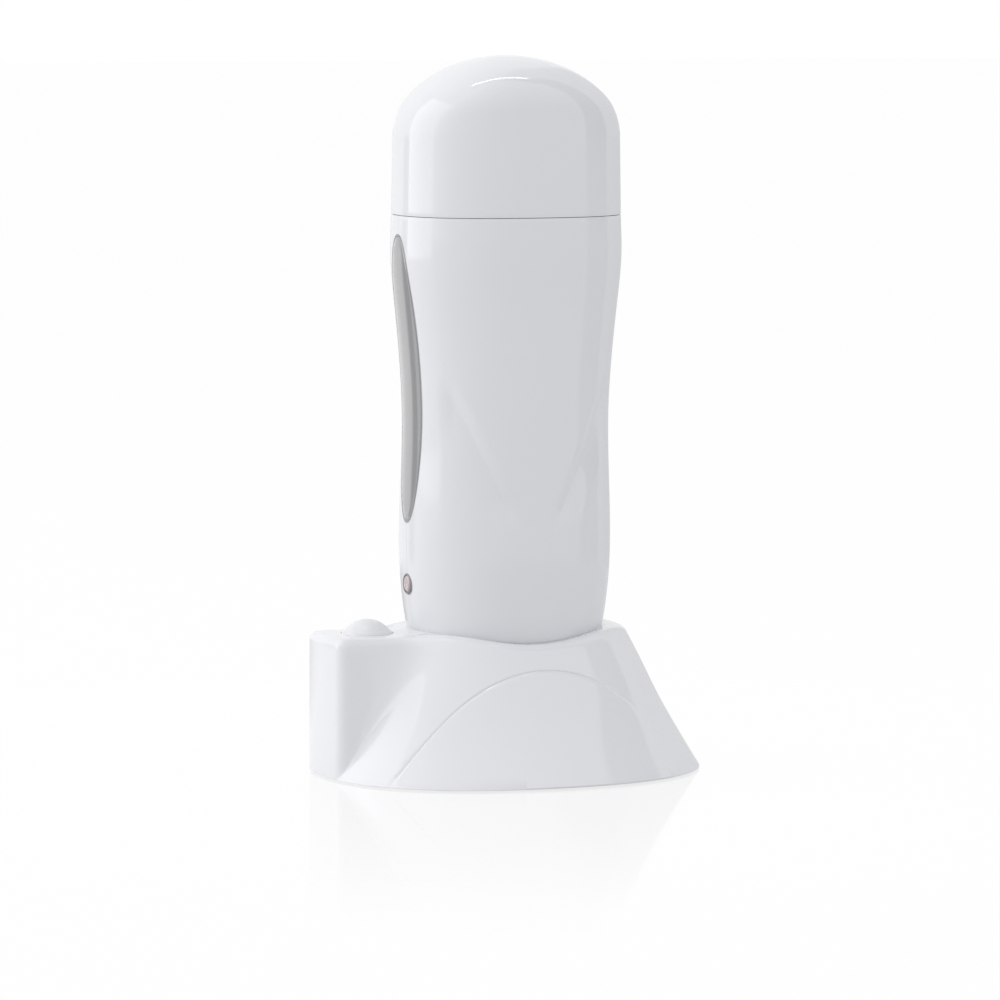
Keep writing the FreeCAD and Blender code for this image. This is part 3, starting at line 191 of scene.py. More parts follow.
# what the heater's glossy walls mirror of it: soft bands close by, and from about half a
# metre out the tent's slits, at the right and behind the left
sheet_stops = [(54, 0.55), (56, 0.25), (86, 0.25), (88, 0.5), (110, 0.4), (160, 0.4), (175, 0.6)]
sheet_stops.extend([(-153, 0.66), (-149, 0.3), (-140, 0.3), (-137, 0.68), (-82, 0.68), (-77, 0.55)])
far_bands = tent_panels(tree, place.outputs["Object"], sheet_stops)
far_metres = {"From Min": 0.42, "From Max": 0.52}
far = add_node(tree, "ShaderNodeMapRange", far_metres, {"Value": reach.outputs["Value"]})
near_stops = [(150, 0.3), (-172, 0.3), (-148, 0.66), (-60, 0.62), (-40, 0.55), (140, 0.5)]
near_bands = tent_panels(tree, place.outputs["Object"], near_stops)
near_to_far = {0: far.outputs["Result"], 6: near_bands, 7: far_bands}
mirrored_colour = add_node(tree, "ShaderNodeMix", links=near_to_far, data_type="RGBA")
mirrored_sheet = add_node(
    tree, "ShaderNodeEmission", {"Strength": 1.6}, {"Color": mirrored_colour.outputs[2]}
)
by_gloss = choose(tree, light_path.outputs["Is Glossy Ray"], mirrored_sheet, lit)
by_ray = choose(tree, light_path.outputs["Is Camera Ray"], seen_polish, by_gloss)
add_node(tree, "ShaderNodeOutputMaterial", links={"Surface": by_ray.outputs[0]})
floor_mesh.materials.append(acrylic)


# ---- Docking base housing ----
# The heater stands in a flared skirt with a saddle-shaped collar, and a flat-sided block at
# its left carries the button. One injection-moulded piece of glossy white ABS, whose raised
# arch panel on the front is bounded by a fine groove.
def blank_material(name):
    """Material with an empty tree, and the coordinates of its piece."""
    material = bpy.data.materials.new(name)
    material.use_nodes = True
    tree = material.node_tree
    tree.nodes.clear()
    place = add_node(tree, "ShaderNodeTexCoord")
    return material, tree, place.outputs["Object"]


def two_tone(tree, colour, shade, share):
    """Colour that drifts from the one to the other."""
    ends = {6: linear(colour), 7: linear(shade)}
    return add_node(tree, "ShaderNodeMix", ends, {0: share}, data_type="RGBA")


def wander(tree, place, size_mm, values):
    """Noise whose patches are about size_mm across."""
    scale = {"Scale": 1000 / size_mm}
    return add_node(tree, "ShaderNodeTexNoise", {**scale, **values}, {"Vector": place})


def raised(tree, strength, metres, height):
    """Relief of that height under the skin."""
    values = {"Strength": strength, "Distance": metres}
    return add_node(tree, "ShaderNodeBump", values, {"Height": height})


def gloss_range(tree, value, low, high, within=(0.0, 1.0)):
    """Roughness from low to high, as the value goes through within."""
    sockets = {"From Min": within[0], "From Max": within[1], "To Min": low, "To Max": high}
    return add_node(tree, "ShaderNodeMapRange", sockets, {"Value": value})


def skin_over(tree, values, tone, gloss, relief):
    """The surface itself, with its tone, its gloss and its relief."""
    links = {"Base Color": tone.outputs[2], "Roughness": gloss.outputs["Result"]}
    links["Normal"] = relief.outputs["Normal"]
    skin = add_node(tree, "ShaderNodeBsdfPrincipled", values, links)
    add_node(tree, "ShaderNodeOutputMaterial", links={"Surface": skin.outputs[0]})


def moulded_plastic(name, colour, shade, roughness, grain_mm, relief_mm):
    """Injection-moulded thermoplastic: a clean tone that drifts a little with the melt's
    flow, and a skin whose gloss and level wander over grain_mm as the mould's steel does."""
    material, tree, place = blank_material(name)
    flow_mm = 45
    flow = wander(tree, place, flow_mm, {"Detail": 2.0, "Roughness": 0.5})
    tone = two_tone(tree, colour, shade, flow.outputs["Fac"])
    grain = wander(tree, place, grain_mm, {"Detail": 3.0, "Roughness": 0.55})
    gloss = gloss_range(
        tree, grain.outputs["Fac"], roughness * 0.8, roughness * 1.2, (0.3, 0.7)
    )
    relief = raised(tree, 1.0, relief_mm / 1000, grain.outputs["Fac"])
    skin_over(tree, {"IOR": 1.53}, tone, gloss, relief)
    return material


def curve_through(stations, sizes, at):
    """Natural cubic curve through sizes at stations, read at any values."""
    stations = np.asarray(stations, float)
    sizes = np.asarray(sizes, float)
    gaps = np.diff(stations)
    count = len(stations)
    matrix = np.eye(count)
    right = np.zeros(count)
    for k in range(1, count - 1):
        matrix[k, k - 1 : k + 2] = (gaps[k - 1], 2 * (gaps[k - 1] + gaps[k]), gaps[k])
        slope_after = (sizes[k + 1] - sizes[k]) / gaps[k]
        slope_before = (sizes[k] - sizes[k - 1]) / gaps[k - 1]
        right[k] = 6 * (slope_after - slope_before)
    bend = np.linalg.solve(matrix, right)
    at = np.asarray(at, float)
    k = np.clip(np.searchsorted(stations, at) - 1, 0, count - 2)
    low = at - stations[k]
    high = stations[k + 1] - at
    gap = gaps[k]
    cubic = (bend[k] * high**3 + bend[k + 1] * low**3) / (6 * gap)
    line = (sizes[k] / gap - bend[k] * gap / 6) * high
    line = line + (sizes[k + 1] / gap - bend[k + 1] * gap / 6) * low
    return cubic + line


def oval_reach(half_width, half_depth, exponent, angle):
    """Distance from the axis to an oval of that exponent, in a direction from +X."""
    c = np.abs(np.cos(angle)) / half_width
    s = np.abs(np.sin(angle)) / half_depth
    return (c**exponent + s**exponent) ** (-1 / exponent)


def ease(low, high, value):
    """0 below low, 1 above high, smooth between."""
    share = np.clip((value - low) / (high - low), 0, 1)
    return share * share * (3 - 2 * share)


sharp_angle = math.radians(40)


def mesh_object(name, points, faces):
    """Closed mesh from points in millimetres, its doubled points merged, shaded smooth."""
    mesh = bpy.data.meshes.new(name)
    mesh.from_pydata((np.asarray(points) * 0.001).tolist(), [], faces)
    work = bmesh.new()
    work.from_mesh(mesh)
    bmesh.ops.remove_doubles(work, verts=work.verts, dist=2e-7)
    bmesh.ops.dissolve_degenerate(work, edges=work.edges, dist=1e-7)
    bmesh.ops.recalc_face_normals(work, faces=work.faces)
    work.to_mesh(mesh)
    work.free()
    mesh.shade_smooth()
    mesh.set_sharp_from_angle(angle=sharp_angle)
    piece = bpy.data.objects.new(name, mesh)
    bpy.context.collection.objects.link(piece)
    return piece


def grid_faces(rows, columns, wrap_rows, wrap_columns, first=0):
    """Quads of a grid of points that is stored row by row."""
    r = np.arange(rows if wrap_rows else rows - 1)[:, None]
    c = np.arange(columns if wrap_columns else columns - 1)[None, :]
    r2 = (r + 1) % rows
    c2 = (c + 1) % columns
    quads = np.stack([r * columns + c, r * columns + c2, r2 * columns + c2, r2 * columns + c], -1)
    return (quads.reshape(-1, 4) + first).tolist()


def cut_from(piece, cutters):
    """Takes the cutters' space out of a piece and removes the cutters."""
    for cutter in cutters:
        knife = piece.modifiers.new("cut", "BOOLEAN")
        knife.operation = "DIFFERENCE"
        knife.solver = "EXACT"
        knife.object = cutter
    graph = bpy.context.evaluated_depsgraph_get()
    cut_mesh = bpy.data.meshes.new_from_object(piece.evaluated_get(graph))
    piece.modifiers.clear()
    piece.data = cut_mesh
    cut_mesh.shade_smooth()
    cut_mesh.set_sharp_from_angle(angle=sharp_angle)
    for cutter in cutters:
        bpy.data.objects.remove(cutter)


def turned_piece(name, profile, centres, axis="Z", segments=96):
    """Lathe-turned closed mesh, once at each centre: profile is (radius, place on the axis)."""
    profile = np.asarray(profile, float)
    angles = np.linspace(0, 2 * math.pi, segments, endpoint=False)
    radius = profile[:, 0][:, None]
    along = profile[:, 1][:, None] + 0 * angles[None, :]
    across = radius * np.cos(angles)[None, :]
    up = radius * np.sin(angles)[None, :]
    order = {"Z": (across, up, along), "X": (along, across, up), "Y": (up, along, across)}[axis]
    turned_points = np.stack(order, -1).reshape(-1, 3)
    points = []
    faces = []
    for centre in centres:
        first = len(points) * len(turned_points)
        faces.extend(grid_faces(len(profile), segments, False, True, first))
        points.append(turned_points + np.asarray(centre, float))
    return mesh_object(name, np.concatenate(points), faces)


# the handset's waisted outline, in millimetres up from the table; the socket follows it too
handset_heights = [22.5, 42.0, 56.0, 72.0, 106.0, 141.5, 156.5, 167.4, 175.4]
handset_half_widths = [25.2, 29.2, 31.15, 31.75, 30.95, 33.6, 34.8, 34.5, 34.5]
handset_half_depths = [20.2, 23.5, 24.9, 25.3, 25.0, 26.2, 26.9, 26.8, 26.8]
handset_exponent = 2.4


def handset_reach(angle, z, grow=0.0):
    """Distance to the handset's outside in a direction, or so much outside it."""
    return oval_reach(
        curve_through(handset_heights, handset_half_widths, z) + grow,
        curve_through(handset_heights, handset_half_depths, z) + grow,
        handset_exponent,
        angle,
    )


def slot_reach(half_width, flat, cos, sin):
    """Distance to the edge of a slot with round ends, whose straight part is twice flat long."""
    c = np.abs(cos)
    s = np.maximum(np.abs(sin), 1e-6)
    straight = half_width / s
    round_end = flat * c + np.sqrt(np.maximum(half_width**2 - (flat * s) ** 2, 0))
    return np.where(straight * c < flat, straight, round_end)


# the flared skirt, with its fuller right shoulder
base_heights = [0.6, 20.0, 40.0, 48.0]
base_half_widths = [59.2, 47.9, 37.3, 33.9]
base_half_depths = [50.0, 38.2, 29.2, 25.8]
base_exponent = 2.3
foot_z = 0.4
shoulder_swell = 0.8
shoulder_z = 34
shoulder_spread = 10
# the button block, then the saddle of the collar's top
block_end_x = 58.49
block_half_depth = 13.5
block_corner = 3.0
block_top_z = 42.7
button_x = -44.2
saddle_mid_z = 41.85
saddle_swing = 1.55
saddle_peak_x = 31.0
# where the skirt runs into the block: the blend, and the tuck (turns in degrees from -X)
root_blend = 15.0
root_blend_heights = (0.6, 34.0)
tuck_depth = 1.3
tuck_turn = -22
tuck_spread = 12
tuck_heights = (0.6, 9.0)
wall = 2.2


def skirt_reach(angle, z):
    """Distance to the flared skirt, whose right shoulder is a little fuller."""
    swell = np.exp(-(((z - shoulder_z) / shoulder_spread) ** 2))
    return shoulder_swell * np.clip(np.cos(angle), 0, 1) * swell + oval_reach(
        curve_through(base_heights, base_half_widths, z),
        curve_through(base_heights, base_half_depths, z),
        base_exponent,
        angle,
    )


def block_reach(turn):
    """Distance to the block's footprint at a turn from -X; nothing behind its root."""
    end = oval_reach(base_half_widths[0], base_half_depths[0], base_exponent, math.pi - turn)
    s = np.maximum(np.abs(np.sin(turn)), 1e-6)
    side = block_half_depth / s
    corner_y = block_half_depth - block_corner
    corner_x = block_end_x - block_corner
    along = corner_x * np.cos(turn) + corner_y * s
    rest = block_corner**2 - (corner_x**2 + corner_y**2) + along**2
    corner = along + np.sqrt(np.maximum(rest, 0))
    first = math.atan2(corner_y, corner_x + block_corner)
    last = math.atan2(block_half_depth, corner_x)
    reach = np.where(np.abs(turn) < first, end, np.where(np.abs(turn) > last, side, corner))
    return np.where(np.abs(turn) < math.radians(80), reach, 0.0)


def wall_reach(turn, z):
    """Outer wall: skirt and block with a soft concave blend that dies out at the foot, where
    the skirt tucks in behind the block."""
    tuck = tuck_depth * np.exp(-(((np.degrees(turn) - tuck_turn) / tuck_spread) ** 2))
    skirt = skirt_reach(math.pi - turn, z) - tuck * (1 - ease(*tuck_heights, z))
    block = block_reach(turn)
    blend = root_blend * ease(*root_blend_heights, z) + 1e-6
    overlap = np.maximum(blend - np.abs(skirt - block), 0) / blend
    return np.maximum(skirt, block) + overlap**2 * blend / 4


def saddle_z(x):
    """Height of the collar's top: low at the front and back, high at the two sides."""
    swing = np.cos(math.pi * np.clip(x / saddle_peak_x, -1, 1))
    return saddle_mid_z - saddle_swing * swing


# the arch panel's edge, and where along X its features fade
arch_xs = [-49.5, -27.2, 0.0, 27.2, 49.5]
arch_zs = [0.0, 22.6, 32.8, 22.6, 0.0]
arch_rise = 0.3
arch_groove = 0.3
left_fade_xs = (-36.0, 0.0)
groove_end_xs = (14.0, 33.0)
edge_softening_xs = (26.0, 46.0)
rise_end_xs = (32.0, 48.0)


def arch_edge_z(x):
    """Height of the arch panel's edge."""
    return curve_through(arch_xs, arch_zs, np.clip(x, arch_xs[0], arch_xs[-1]))


def panel_relief(x, z, front):
    """Height of the arch panel over the skirt, with the fine groove round it. Towards -X the
    panel lies nearly level with the skirt and the groove is finer and deeper; towards +X the
    groove runs out and the edge grows softer until it is gone."""
    inside_span = np.abs(x) < arch_xs[-1]
    edge_z = arch_edge_z(x)
    steep = np.sqrt(1 + ((arch_edge_z(x + 0.5) - edge_z) / 0.5) ** 2)
    into = (edge_z - z) / steep
    left = 1 - ease(*left_fade_xs, x)
    groove_half_width = 0.33 - 0.12 * left
    groove = -arch_groove * (1 + 0.2 * left) * np.exp(-(((into + 0.2) / groove_half_width) ** 2))
    groove *= 1 - ease(*groove_end_xs, x)
    edge_width = 0.5 + 6.5 * ease(*edge_softening_xs, x)
    rise = ease(-edge_width / 2, edge_width, into) * (1 - ease(*rise_end_xs, x))
    rise *= arch_rise * (1 - 0.9 * left)
    return np.where(inside_span & front, groove + rise, 0.0)


# the columns of the mesh, by turn from -X: closest together round the block's corners
turn_steps = [(0, 9.5, 1.0), (9.5, 26, 0.4), (26, 60, 0.8), (60, 150, 0.7), (150, 180, 1.0)]
front_turns = []
for start, stop, step in turn_steps:
    front_turns.extend(np.arange(start, stop - 0.01, step))
rear_turns = [turn for turn in front_turns if turn > 0]
turns = np.radians(np.array([*front_turns, 180.0, *[-turn for turn in rear_turns[::-1]]]))
outward = np.stack([-np.cos(turns), -np.sin(turns)], -1)
columns = len(turns)
is_front = np.sin(turns) > 0

# the row that follows the arch on every column
low_z = np.full(columns, foot_z)
high_z = np.full(columns, 36.0)
for _ in range(40):
    middle_z = (low_z + high_z) / 2
    x = outward[:, 0] * wall_reach(turns, middle_z)
    inside_span = np.abs(x) < arch_xs[-1]
    above = middle_z > np.where(inside_span, arch_edge_z(x), 0.0)
    high_z = np.where(above, middle_z, high_z)
    low_z = np.where(above, low_z, middle_z)
arch_row_z = np.maximum(middle_z, 2.8)

# height of the outer edge of the top, its rounding, and the wall's lean there; the block
# meets the collar at about 24 degrees from its middle
block_lip = 2.6
collar_lip_more = 1.8
right_lip_more = 0.9
junction_dip = 0.4
from_block = np.degrees(np.abs(turns))
junction = np.exp(-(((from_block - 24) / 9) ** 2))
on_block = 1 - ease(18, 26, from_block)
collar_x = outward[:, 0] * skirt_reach(math.pi - turns, 41.5)
edge_top_z = on_block * block_top_z + (1 - on_block) * saddle_z(collar_x) - junction_dip * junction
lip_more = collar_lip_more + right_lip_more * ease(0, 30, collar_x)
lip_radius = block_lip + lip_more * (1 - on_block)
lip_break = math.radians(15) * ease(20, 34, from_block)


def plan_normals(points):
    """Outward normals of a closed outline, seen from above."""
    tangent = np.roll(points, -1, axis=0) - np.roll(points, 1, axis=0)
    normal = np.stack([tangent[:, 1], -tangent[:, 0]], -1)
    normal /= np.linalg.norm(normal, axis=1)[:, None]
    facing = np.sign((normal * points).sum(1))[:, None]
    return normal * facing


def wall_plan(z):
    return outward * wall_reach(turns, z)[:, None]


lip_z = edge_top_z - lip_radius * 0.6
slope = wall_reach(turns, lip_z + 0.5) - wall_reach(turns, lip_z - 0.5)
edge_plan = wall_plan(lip_z)
edge_normal = plan_normals(edge_plan)
lean = np.clip(np.arctan(-slope * (outward * edge_normal).sum(1)), 0, None) + lip_break
lip_z = edge_top_z - lip_radius * (1 - np.sin(lean))
edge_plan = wall_plan(lip_z)
edge_normal = plan_normals(edge_plan)

# all rows of the mesh, from the foot up the outside, over the top, down the socket, and
# back to the foot on the inside
rows = []


def add_row(plan, z):
    rows.append(np.concatenate([plan, np.broadcast_to(z, (columns,))[:, None]], -1))


def add_ring(reach, z):
    add_row(outward * reach[:, None], z)


def add_wall_row(z):
    reach = wall_reach(turns, z)
    x = outward[:, 0] * reach
    add_ring(reach + panel_relief(x, z, is_front), z)


foot_round = 0.5
foot_chamfer = 0.15
below_arch = 1.4
above_arch = 1.84
foot_plan = wall_plan(np.full(columns, foot_z))
foot_normal = plan_normals(foot_plan)
add_row(foot_plan - foot_normal * foot_round, foot_z)
add_row(foot_plan - foot_normal * foot_chamfer, foot_z + foot_chamfer)
for share in np.linspace(0, 1, 10)[:-1]:
    add_wall_row(foot_z + foot_round + (arch_row_z - below_arch - foot_z - foot_round) * share)
for offset in (-1.2, -0.8, -0.5, -0.3, -0.1, 0.1, 0.25, 0.4, 0.55, 0.7, 0.9, 1.2, 1.6):
    add_wall_row(arch_row_z + offset * 1.15)
for share in np.linspace(0, 1, 15)[1:-1]:
    add_wall_row(arch_row_z + above_arch + (lip_z - arch_row_z - above_arch) * share)
for share in np.linspace(0, 1, 9):
    angle = lean + (math.pi / 2 - lean) * share
    inward = lip_radius * (np.cos(lean) - np.cos(angle))
    rise = lip_radius * (np.sin(angle) - np.sin(lean))
    add_row(edge_plan - edge_normal * inward[:, None], lip_z + rise)

# the top from lip to rim, the rim's own rounding, and the socket's wall
top_outer = edge_plan - edge_normal * (lip_radius * np.cos(lean))[:, None]
socket_clearance = 0.7
rim_clearance = 0.05
rim_radius = 0.2
standard = math.pi + turns
rim_reach = handset_reach(standard, np.full(columns, 42.0), rim_clearance)
rim_plan = outward * (rim_reach + rim_radius)[:, None]
rim_z = saddle_z(rim_plan[:, 0])
run = np.linalg.norm(top_outer - rim_plan, axis=1)
flat_share = np.clip(1 - 7.5 / run, 0, 0.9)
for share in np.linspace(0, 1, 15)[1:]:
    z = edge_top_z + (rim_z - edge_top_z) * ease(flat_share, 1.0, share)
    add_row(top_outer + (rim_plan - top_outer) * share, z)
for share in (0.25, 0.5, 0.75, 1.0):
    angle = math.pi / 2 * share
    reach = rim_reach + rim_radius * (1 - math.sin(angle))
    add_ring(reach, rim_z - rim_radius * (1 - math.cos(angle)))
socket_floor_z = 22.2
for share in np.linspace(0, 1, 14)[1:]:
    z = rim_z - rim_radius + (socket_floor_z + 0.6 - rim_z + rim_radius) * share
    clearance = rim_clearance + (socket_clearance - rim_clearance) * min(share * 4, 1)
    add_ring(handset_reach(standard, z, clearance), z)

# the socket's floor with the dock's slot, the cup's underside, and the hollow inside
floor_round = 0.7
floor_thickness = 2.0
cup_wall = 1.8
plate_top_z = 3.2
plate_ledge = wall + 1.0
floor_reach = handset_reach(standard, np.full(columns, socket_floor_z + 0.3), socket_clearance)
dock_reach = slot_reach(3.9, 3.0, outward[:, 0], outward[:, 1])
add_ring(floor_reach - 0.2, socket_floor_z + 0.15)
add_ring(floor_reach - floor_round, socket_floor_z)
for share in (0.33, 0.66, 1.0):
    to_dock = (dock_reach - floor_reach + floor_round) * share
    add_ring(floor_reach - floor_round + to_dock, socket_floor_z)
add_ring(dock_reach, socket_floor_z - floor_thickness)
add_ring(floor_reach + cup_wall, socket_floor_z - floor_thickness)
ceiling_z = 37.2 + 2.9 * (1 - ease(14, 20, from_block))
for share in (0.5, 1.0):
    z = socket_floor_z + (ceiling_z - socket_floor_z) * share
    add_ring(handset_reach(standard, z, socket_clearance + cup_wall), z)
level_zs = [np.full(columns, z) for z in (20.0, 10.0, plate_top_z)]
for z in (ceiling_z, ceiling_z - 8.0, *level_zs):
    plan = wall_plan(z)
    add_row(plan - plan_normals(plan) * wall, z)
for z in (plate_top_z, foot_z):
    add_row(foot_plan - foot_normal * plate_ledge, z)
faces = grid_faces(len(rows), columns, True, True)
base_housing = mesh_object("base_housing_shell", np.concatenate(rows), faces)

# the button's hole and the gland's bore
button_hole = 7.88
hole_round = 0.12
hole_profile = [(0.0, 30.0), (button_hole, 30.0), (button_hole, block_top_z - hole_round)]
for degrees in (20, 40, 60, 80):
    angle = math.radians(degrees)
    reach = button_hole + hole_round * (1 - math.cos(angle))
    hole_profile.append((reach, block_top_z - hole_round * (1 - math.sin(angle))))
hole_profile.extend([(button_hole + hole_round + 0.01, 46.0), (0.0, 46.0)])
gland_profile = [(0, 0), (3.9, 0), (3.9, 16), (0, 16)]
gland_place = (-50.1, 8, 30.0)
button_hole_tool = turned_piece("button_hole_tool", hole_profile, [(button_x, 0, 0)])
gland_hole_tool = turned_piece("gland_hole_tool", gland_profile, [gland_place], "Y", 48)
cut_from(base_housing, [button_hole_tool, gland_hole_tool])
# clean white with a mirror gloss that wavers a little, as in a good steel mould
white_abs = moulded_plastic("white_abs_gloss_moulded", "#e6e7e9", "#e2e3e5", 0.07, 6.0, 0.006)
base_housing.data.materials.clear()
base_housing.data.materials.append(white_abs)
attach(base_housing, "base")
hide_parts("base_housing")


# ---- Under the base: floor plate, feet, screws ----
# The satin ABS plate that closes the base from below, screwed up into four bosses, and the
# four turned rubber feet that sit in its pockets. The screws are zinc-plated steel.
def fine_rubber(name, colour, shade, grain_mm):
    """Moulded rubber: matt, with the even pebble that a blasted mould leaves, and a slightly
    paler bloom in patches."""
    material, tree, place = blank_material(name)
    bloom_mm = 8
    bloom = wander(tree, place, bloom_mm, {"Detail": 4.0})
    tone = two_tone(tree, colour, shade, bloom.outputs["Fac"])
    pebble = add_node(
        tree, "ShaderNodeTexVoronoi", {"Scale": 1000 / grain_mm}, {"Vector": place}
    )
    relief = raised(tree, 0.5, grain_mm / 5000, pebble.outputs["Distance"])
    matt = gloss_range(tree, bloom.outputs["Fac"], 0.6, 0.8)
    skin_over(tree, {"IOR": 1.52}, tone, matt, relief)
    return material


def worked_metal(name, colour, shade, roughness, stretch, scratch_mm):
    """Drawn, turned or plated metal: fine marks that run along one axis (stretch is how much
    longer they are on X, Y and Z) break up both its gloss and its level."""
    material, tree, place = blank_material(name)
    scale = {"Scale": tuple(1 / s for s in stretch)}
    drawn = add_node(tree, "ShaderNodeMapping", scale, {"Vector": place})
    marks = wander(
        tree, drawn.outputs["Vector"], scratch_mm, {"Detail": 4.0, "Roughness": 0.6}
    )
    tone = two_tone(tree, colour, shade, marks.outputs["Fac"])
    gloss = gloss_range(
        tree, marks.outputs["Fac"], roughness * 0.7, roughness * 1.4, (0.3, 0.7)
    )
    relief = raised(tree, 0.4, scratch_mm / 20000, marks.outputs["Fac"])
    skin_over(tree, {"Metallic": 1.0}, tone, gloss, relief)
    return material


def finish_node(node, material):
    """Gives a piece that keeps its own solid its real finish."""
    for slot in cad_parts[node].material_slots:
        slot.material = material


# greyer than the outer white, with a fine even satin that scatters the light
satin_abs = moulded_plastic("satin_white_abs_spark_eroded", "#d6d8da", "#cfd1d4", 0.42, 0.9, 0.02)
# a cool, slightly patchy metal sheen
zinc_steel = worked_metal(
    "zinc_plated_steel_cold_headed", "#c3c6c9", "#a9adb2", 0.32, (1, 1, 1), 0.6
)
finish_node("base_floor_plate", satin_abs)
finish_node("base_screws", zinc_steel)

# nearly black and matt, with a fine pebble
foot_rubber = fine_rubber("dark_grey_nitrile_rubber_moulded", "#2c2c2e", "#38383a", 0.5)
foot_profile = [(0.0, 0.35), (2.6, 0.35), (2.85, 0.25), (3.05, 0.05), (3.3, 0.0), (4.3, 0.0)]
foot_profile.extend([(4.75, 0.12), (4.95, 0.4), (5.0, 0.8), (5.0, 1.65), (4.85, 1.8), (0.0, 1.8)])
feet_places = [(x, y, 0) for x in (-29, 29) for y in (-31, 31)]
rubber_feet = turned_piece("rubber_feet_moulded", foot_profile, feet_places, "Z", 48)
rubber_feet.data.materials.append(foot_rubber)
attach(rubber_feet, "base")
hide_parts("rubber_feet")


# ---- Inside the base: dock, gland, terminals, switch and wires ----
# The black nylon tower whose two plated contacts the handset drops on, the grey grommet that
# the supply would enter by, the natural nylon terminal block, the push-push switch on its
# laminate board, and the two PVC wires between them.
def woven_laminate(name, colour, shade):
    """Glass-fibre board: the resin shows the square weave of the cloth under it."""
    material, tree, place = blank_material(name)
    thread_mm = 0.5
    warp, weft = (
        add_node(
            tree,
            "ShaderNodeTexWave",
            {"Scale": 1000 / thread_mm / 20, "Distortion": 0.4},
            {"Vector": place},
            bands_direction=axis,
        )
        for axis in ("X", "Y")
    )
    links = {0: warp.outputs["Fac"], 1: weft.outputs["Fac"]}
    weave = add_node(tree, "ShaderNodeMath", links=links, operation="MULTIPLY")
    tone = two_tone(tree, colour, shade, weave.outputs[0])
    relief = raised(tree, 0.3, 0.00002, weave.outputs[0])
    gloss = gloss_range(tree, weave.outputs[0], 0.3, 0.42)
    skin_over(tree, {"IOR": 1.55}, tone, gloss, relief)
    return material


# deep black, satin, finely grained; then the cream of undyed nylon, a little cloudy
black_nylon = moulded_plastic("black_nylon_moulded", "#17171a", "#1f1f22", 0.45, 0.7, 0.02)
natural_nylon = moulded_plastic("natural_nylon_moulded", "#dedbcd", "#d3cfbe", 0.4, 0.8, 0.015)
# a soft pale grey without any gloss
grommet_rubber = fine_rubber("grey_epdm_grommet_moulded", "#b4b4b6", "#a6a6a9", 0.6)
# warm yellow metal, with turning marks that draw its highlight out
bare_brass = worked_metal("bare_brass_turned", "#cfae62", "#b8954c", 0.28, (1, 1, 4), 0.3)
# dark green, with the weave just glinting through
board_laminate = woven_laminate("green_glass_fibre_laminate_pressed", "#3a6644", "#2e5537")
# soft satin skins, in the two colours that tell live from neutral
brown_pvc = moulded_plastic("brown_pvc_extruded", "#57331d", "#4c2b18", 0.38, 0.6, 0.01)
blue_pvc = moulded_plastic("blue_pvc_extruded", "#2c5aa0", "#244d8c", 0.38, 0.6, 0.01)
for node, material in (
    ("dock_connector", black_nylon),
    ("dock_contacts", bare_brass),
    ("cord_gland", grommet_rubber),
    ("terminal_block", natural_nylon),
    ("terminal_screws", zinc_steel),
    ("switch_body", black_nylon),
    ("switch_plunger", natural_nylon),
    ("switch_board", board_laminate),
    ("base_wire_live", brown_pvc),
    ("base_wire_neutral", blue_pvc),
    ("button_spring", grommet_rubber),
):
    finish_node(node, material)


# ---- Power button ----
# A low domed key of white ABS like the housing's, moulded separately and left satin. It rides
# up and down in the block's hole on a flanged stem.
button_profile = [(0.0, 28.3), (2.2, 28.3), (2.4, 28.5), (2.4, 37.2), (2.7, 37.4), (8.8, 37.4)]
button_profile.extend([(9.0, 37.6), (9.0, 38.4), (8.85, 38.6), (7.8, 38.6), (7.8, 42.3)])
# the dome is part of a ball, drawn in a little at its rim
button_radius = 7.8
dome_rim_z = 42.5
dome_top_z = 46.9
dome_height = dome_top_z - dome_rim_z
dome_ball = (button_radius**2 + dome_height**2) / (2 * dome_height)
rim_step = 0.3
dome_reach = button_radius - rim_step
for share in np.linspace(0, 1, 19):
    reach = dome_reach * (1 - share)
    sag = math.sqrt(dome_ball**2 - (reach / dome_reach * button_radius) ** 2)
    lead = rim_step * ease(0.0, 0.16, share)
    outer = max(reach + rim_step - lead, 0.0) if share < 1 else 0.0
    button_profile.append((outer, dome_top_z - dome_ball + sag))
power_button = turned_piece("power_button_dome", button_profile, [(button_x, 0, 0)])
# the housing's white, but satin: its highlight is broad and soft
button_abs = moulded_plastic("white_abs_satin_moulded", "#e5e6e7", "#dfe0e2", 0.24, 4.0, 0.01)
power_button.data.materials.append(button_abs)
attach(power_button, "power_button")
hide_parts("power_button")


# ---- Handset shells ----
# Two waisted halves of glossy white ABS that meet in the plane of the narrow sides. The front
# one has a raised tongue: two slanting facets step down from it to the flanks and run out.
def along_surface(y, z):
    """How far the narrow side lies from the axis, at a depth y and height z."""
    half_width = curve_through(handset_heights, handset_half_widths, z)
    half_depth = curve_through(handset_heights, handset_half_depths, z)
    return half_width * (1 - np.abs(y / half_depth) ** handset_exponent) ** (1 / handset_exponent)


seam_z = 167.4
shell_bottom_z = 22.5
shell_wall = 2.2
# the two creases that run up beside the tongue, with the heights where they start and end
crease_depth = 0.95
crease_width = 3.4
crease_fade = 13.0
crease_low_z = 69.4
crease_lean = 0.47
crease_start_zs = (74.0, 84.0)
crease_end_zs = (112.0, 122.0)
left_side_xs = (24.0, 28.0)
right_side_xs = (26.0, 30.0)
parting_round = 0.12
bottom_round = 1.2
seam_round = 0.13
seam_round_middle = 0.04


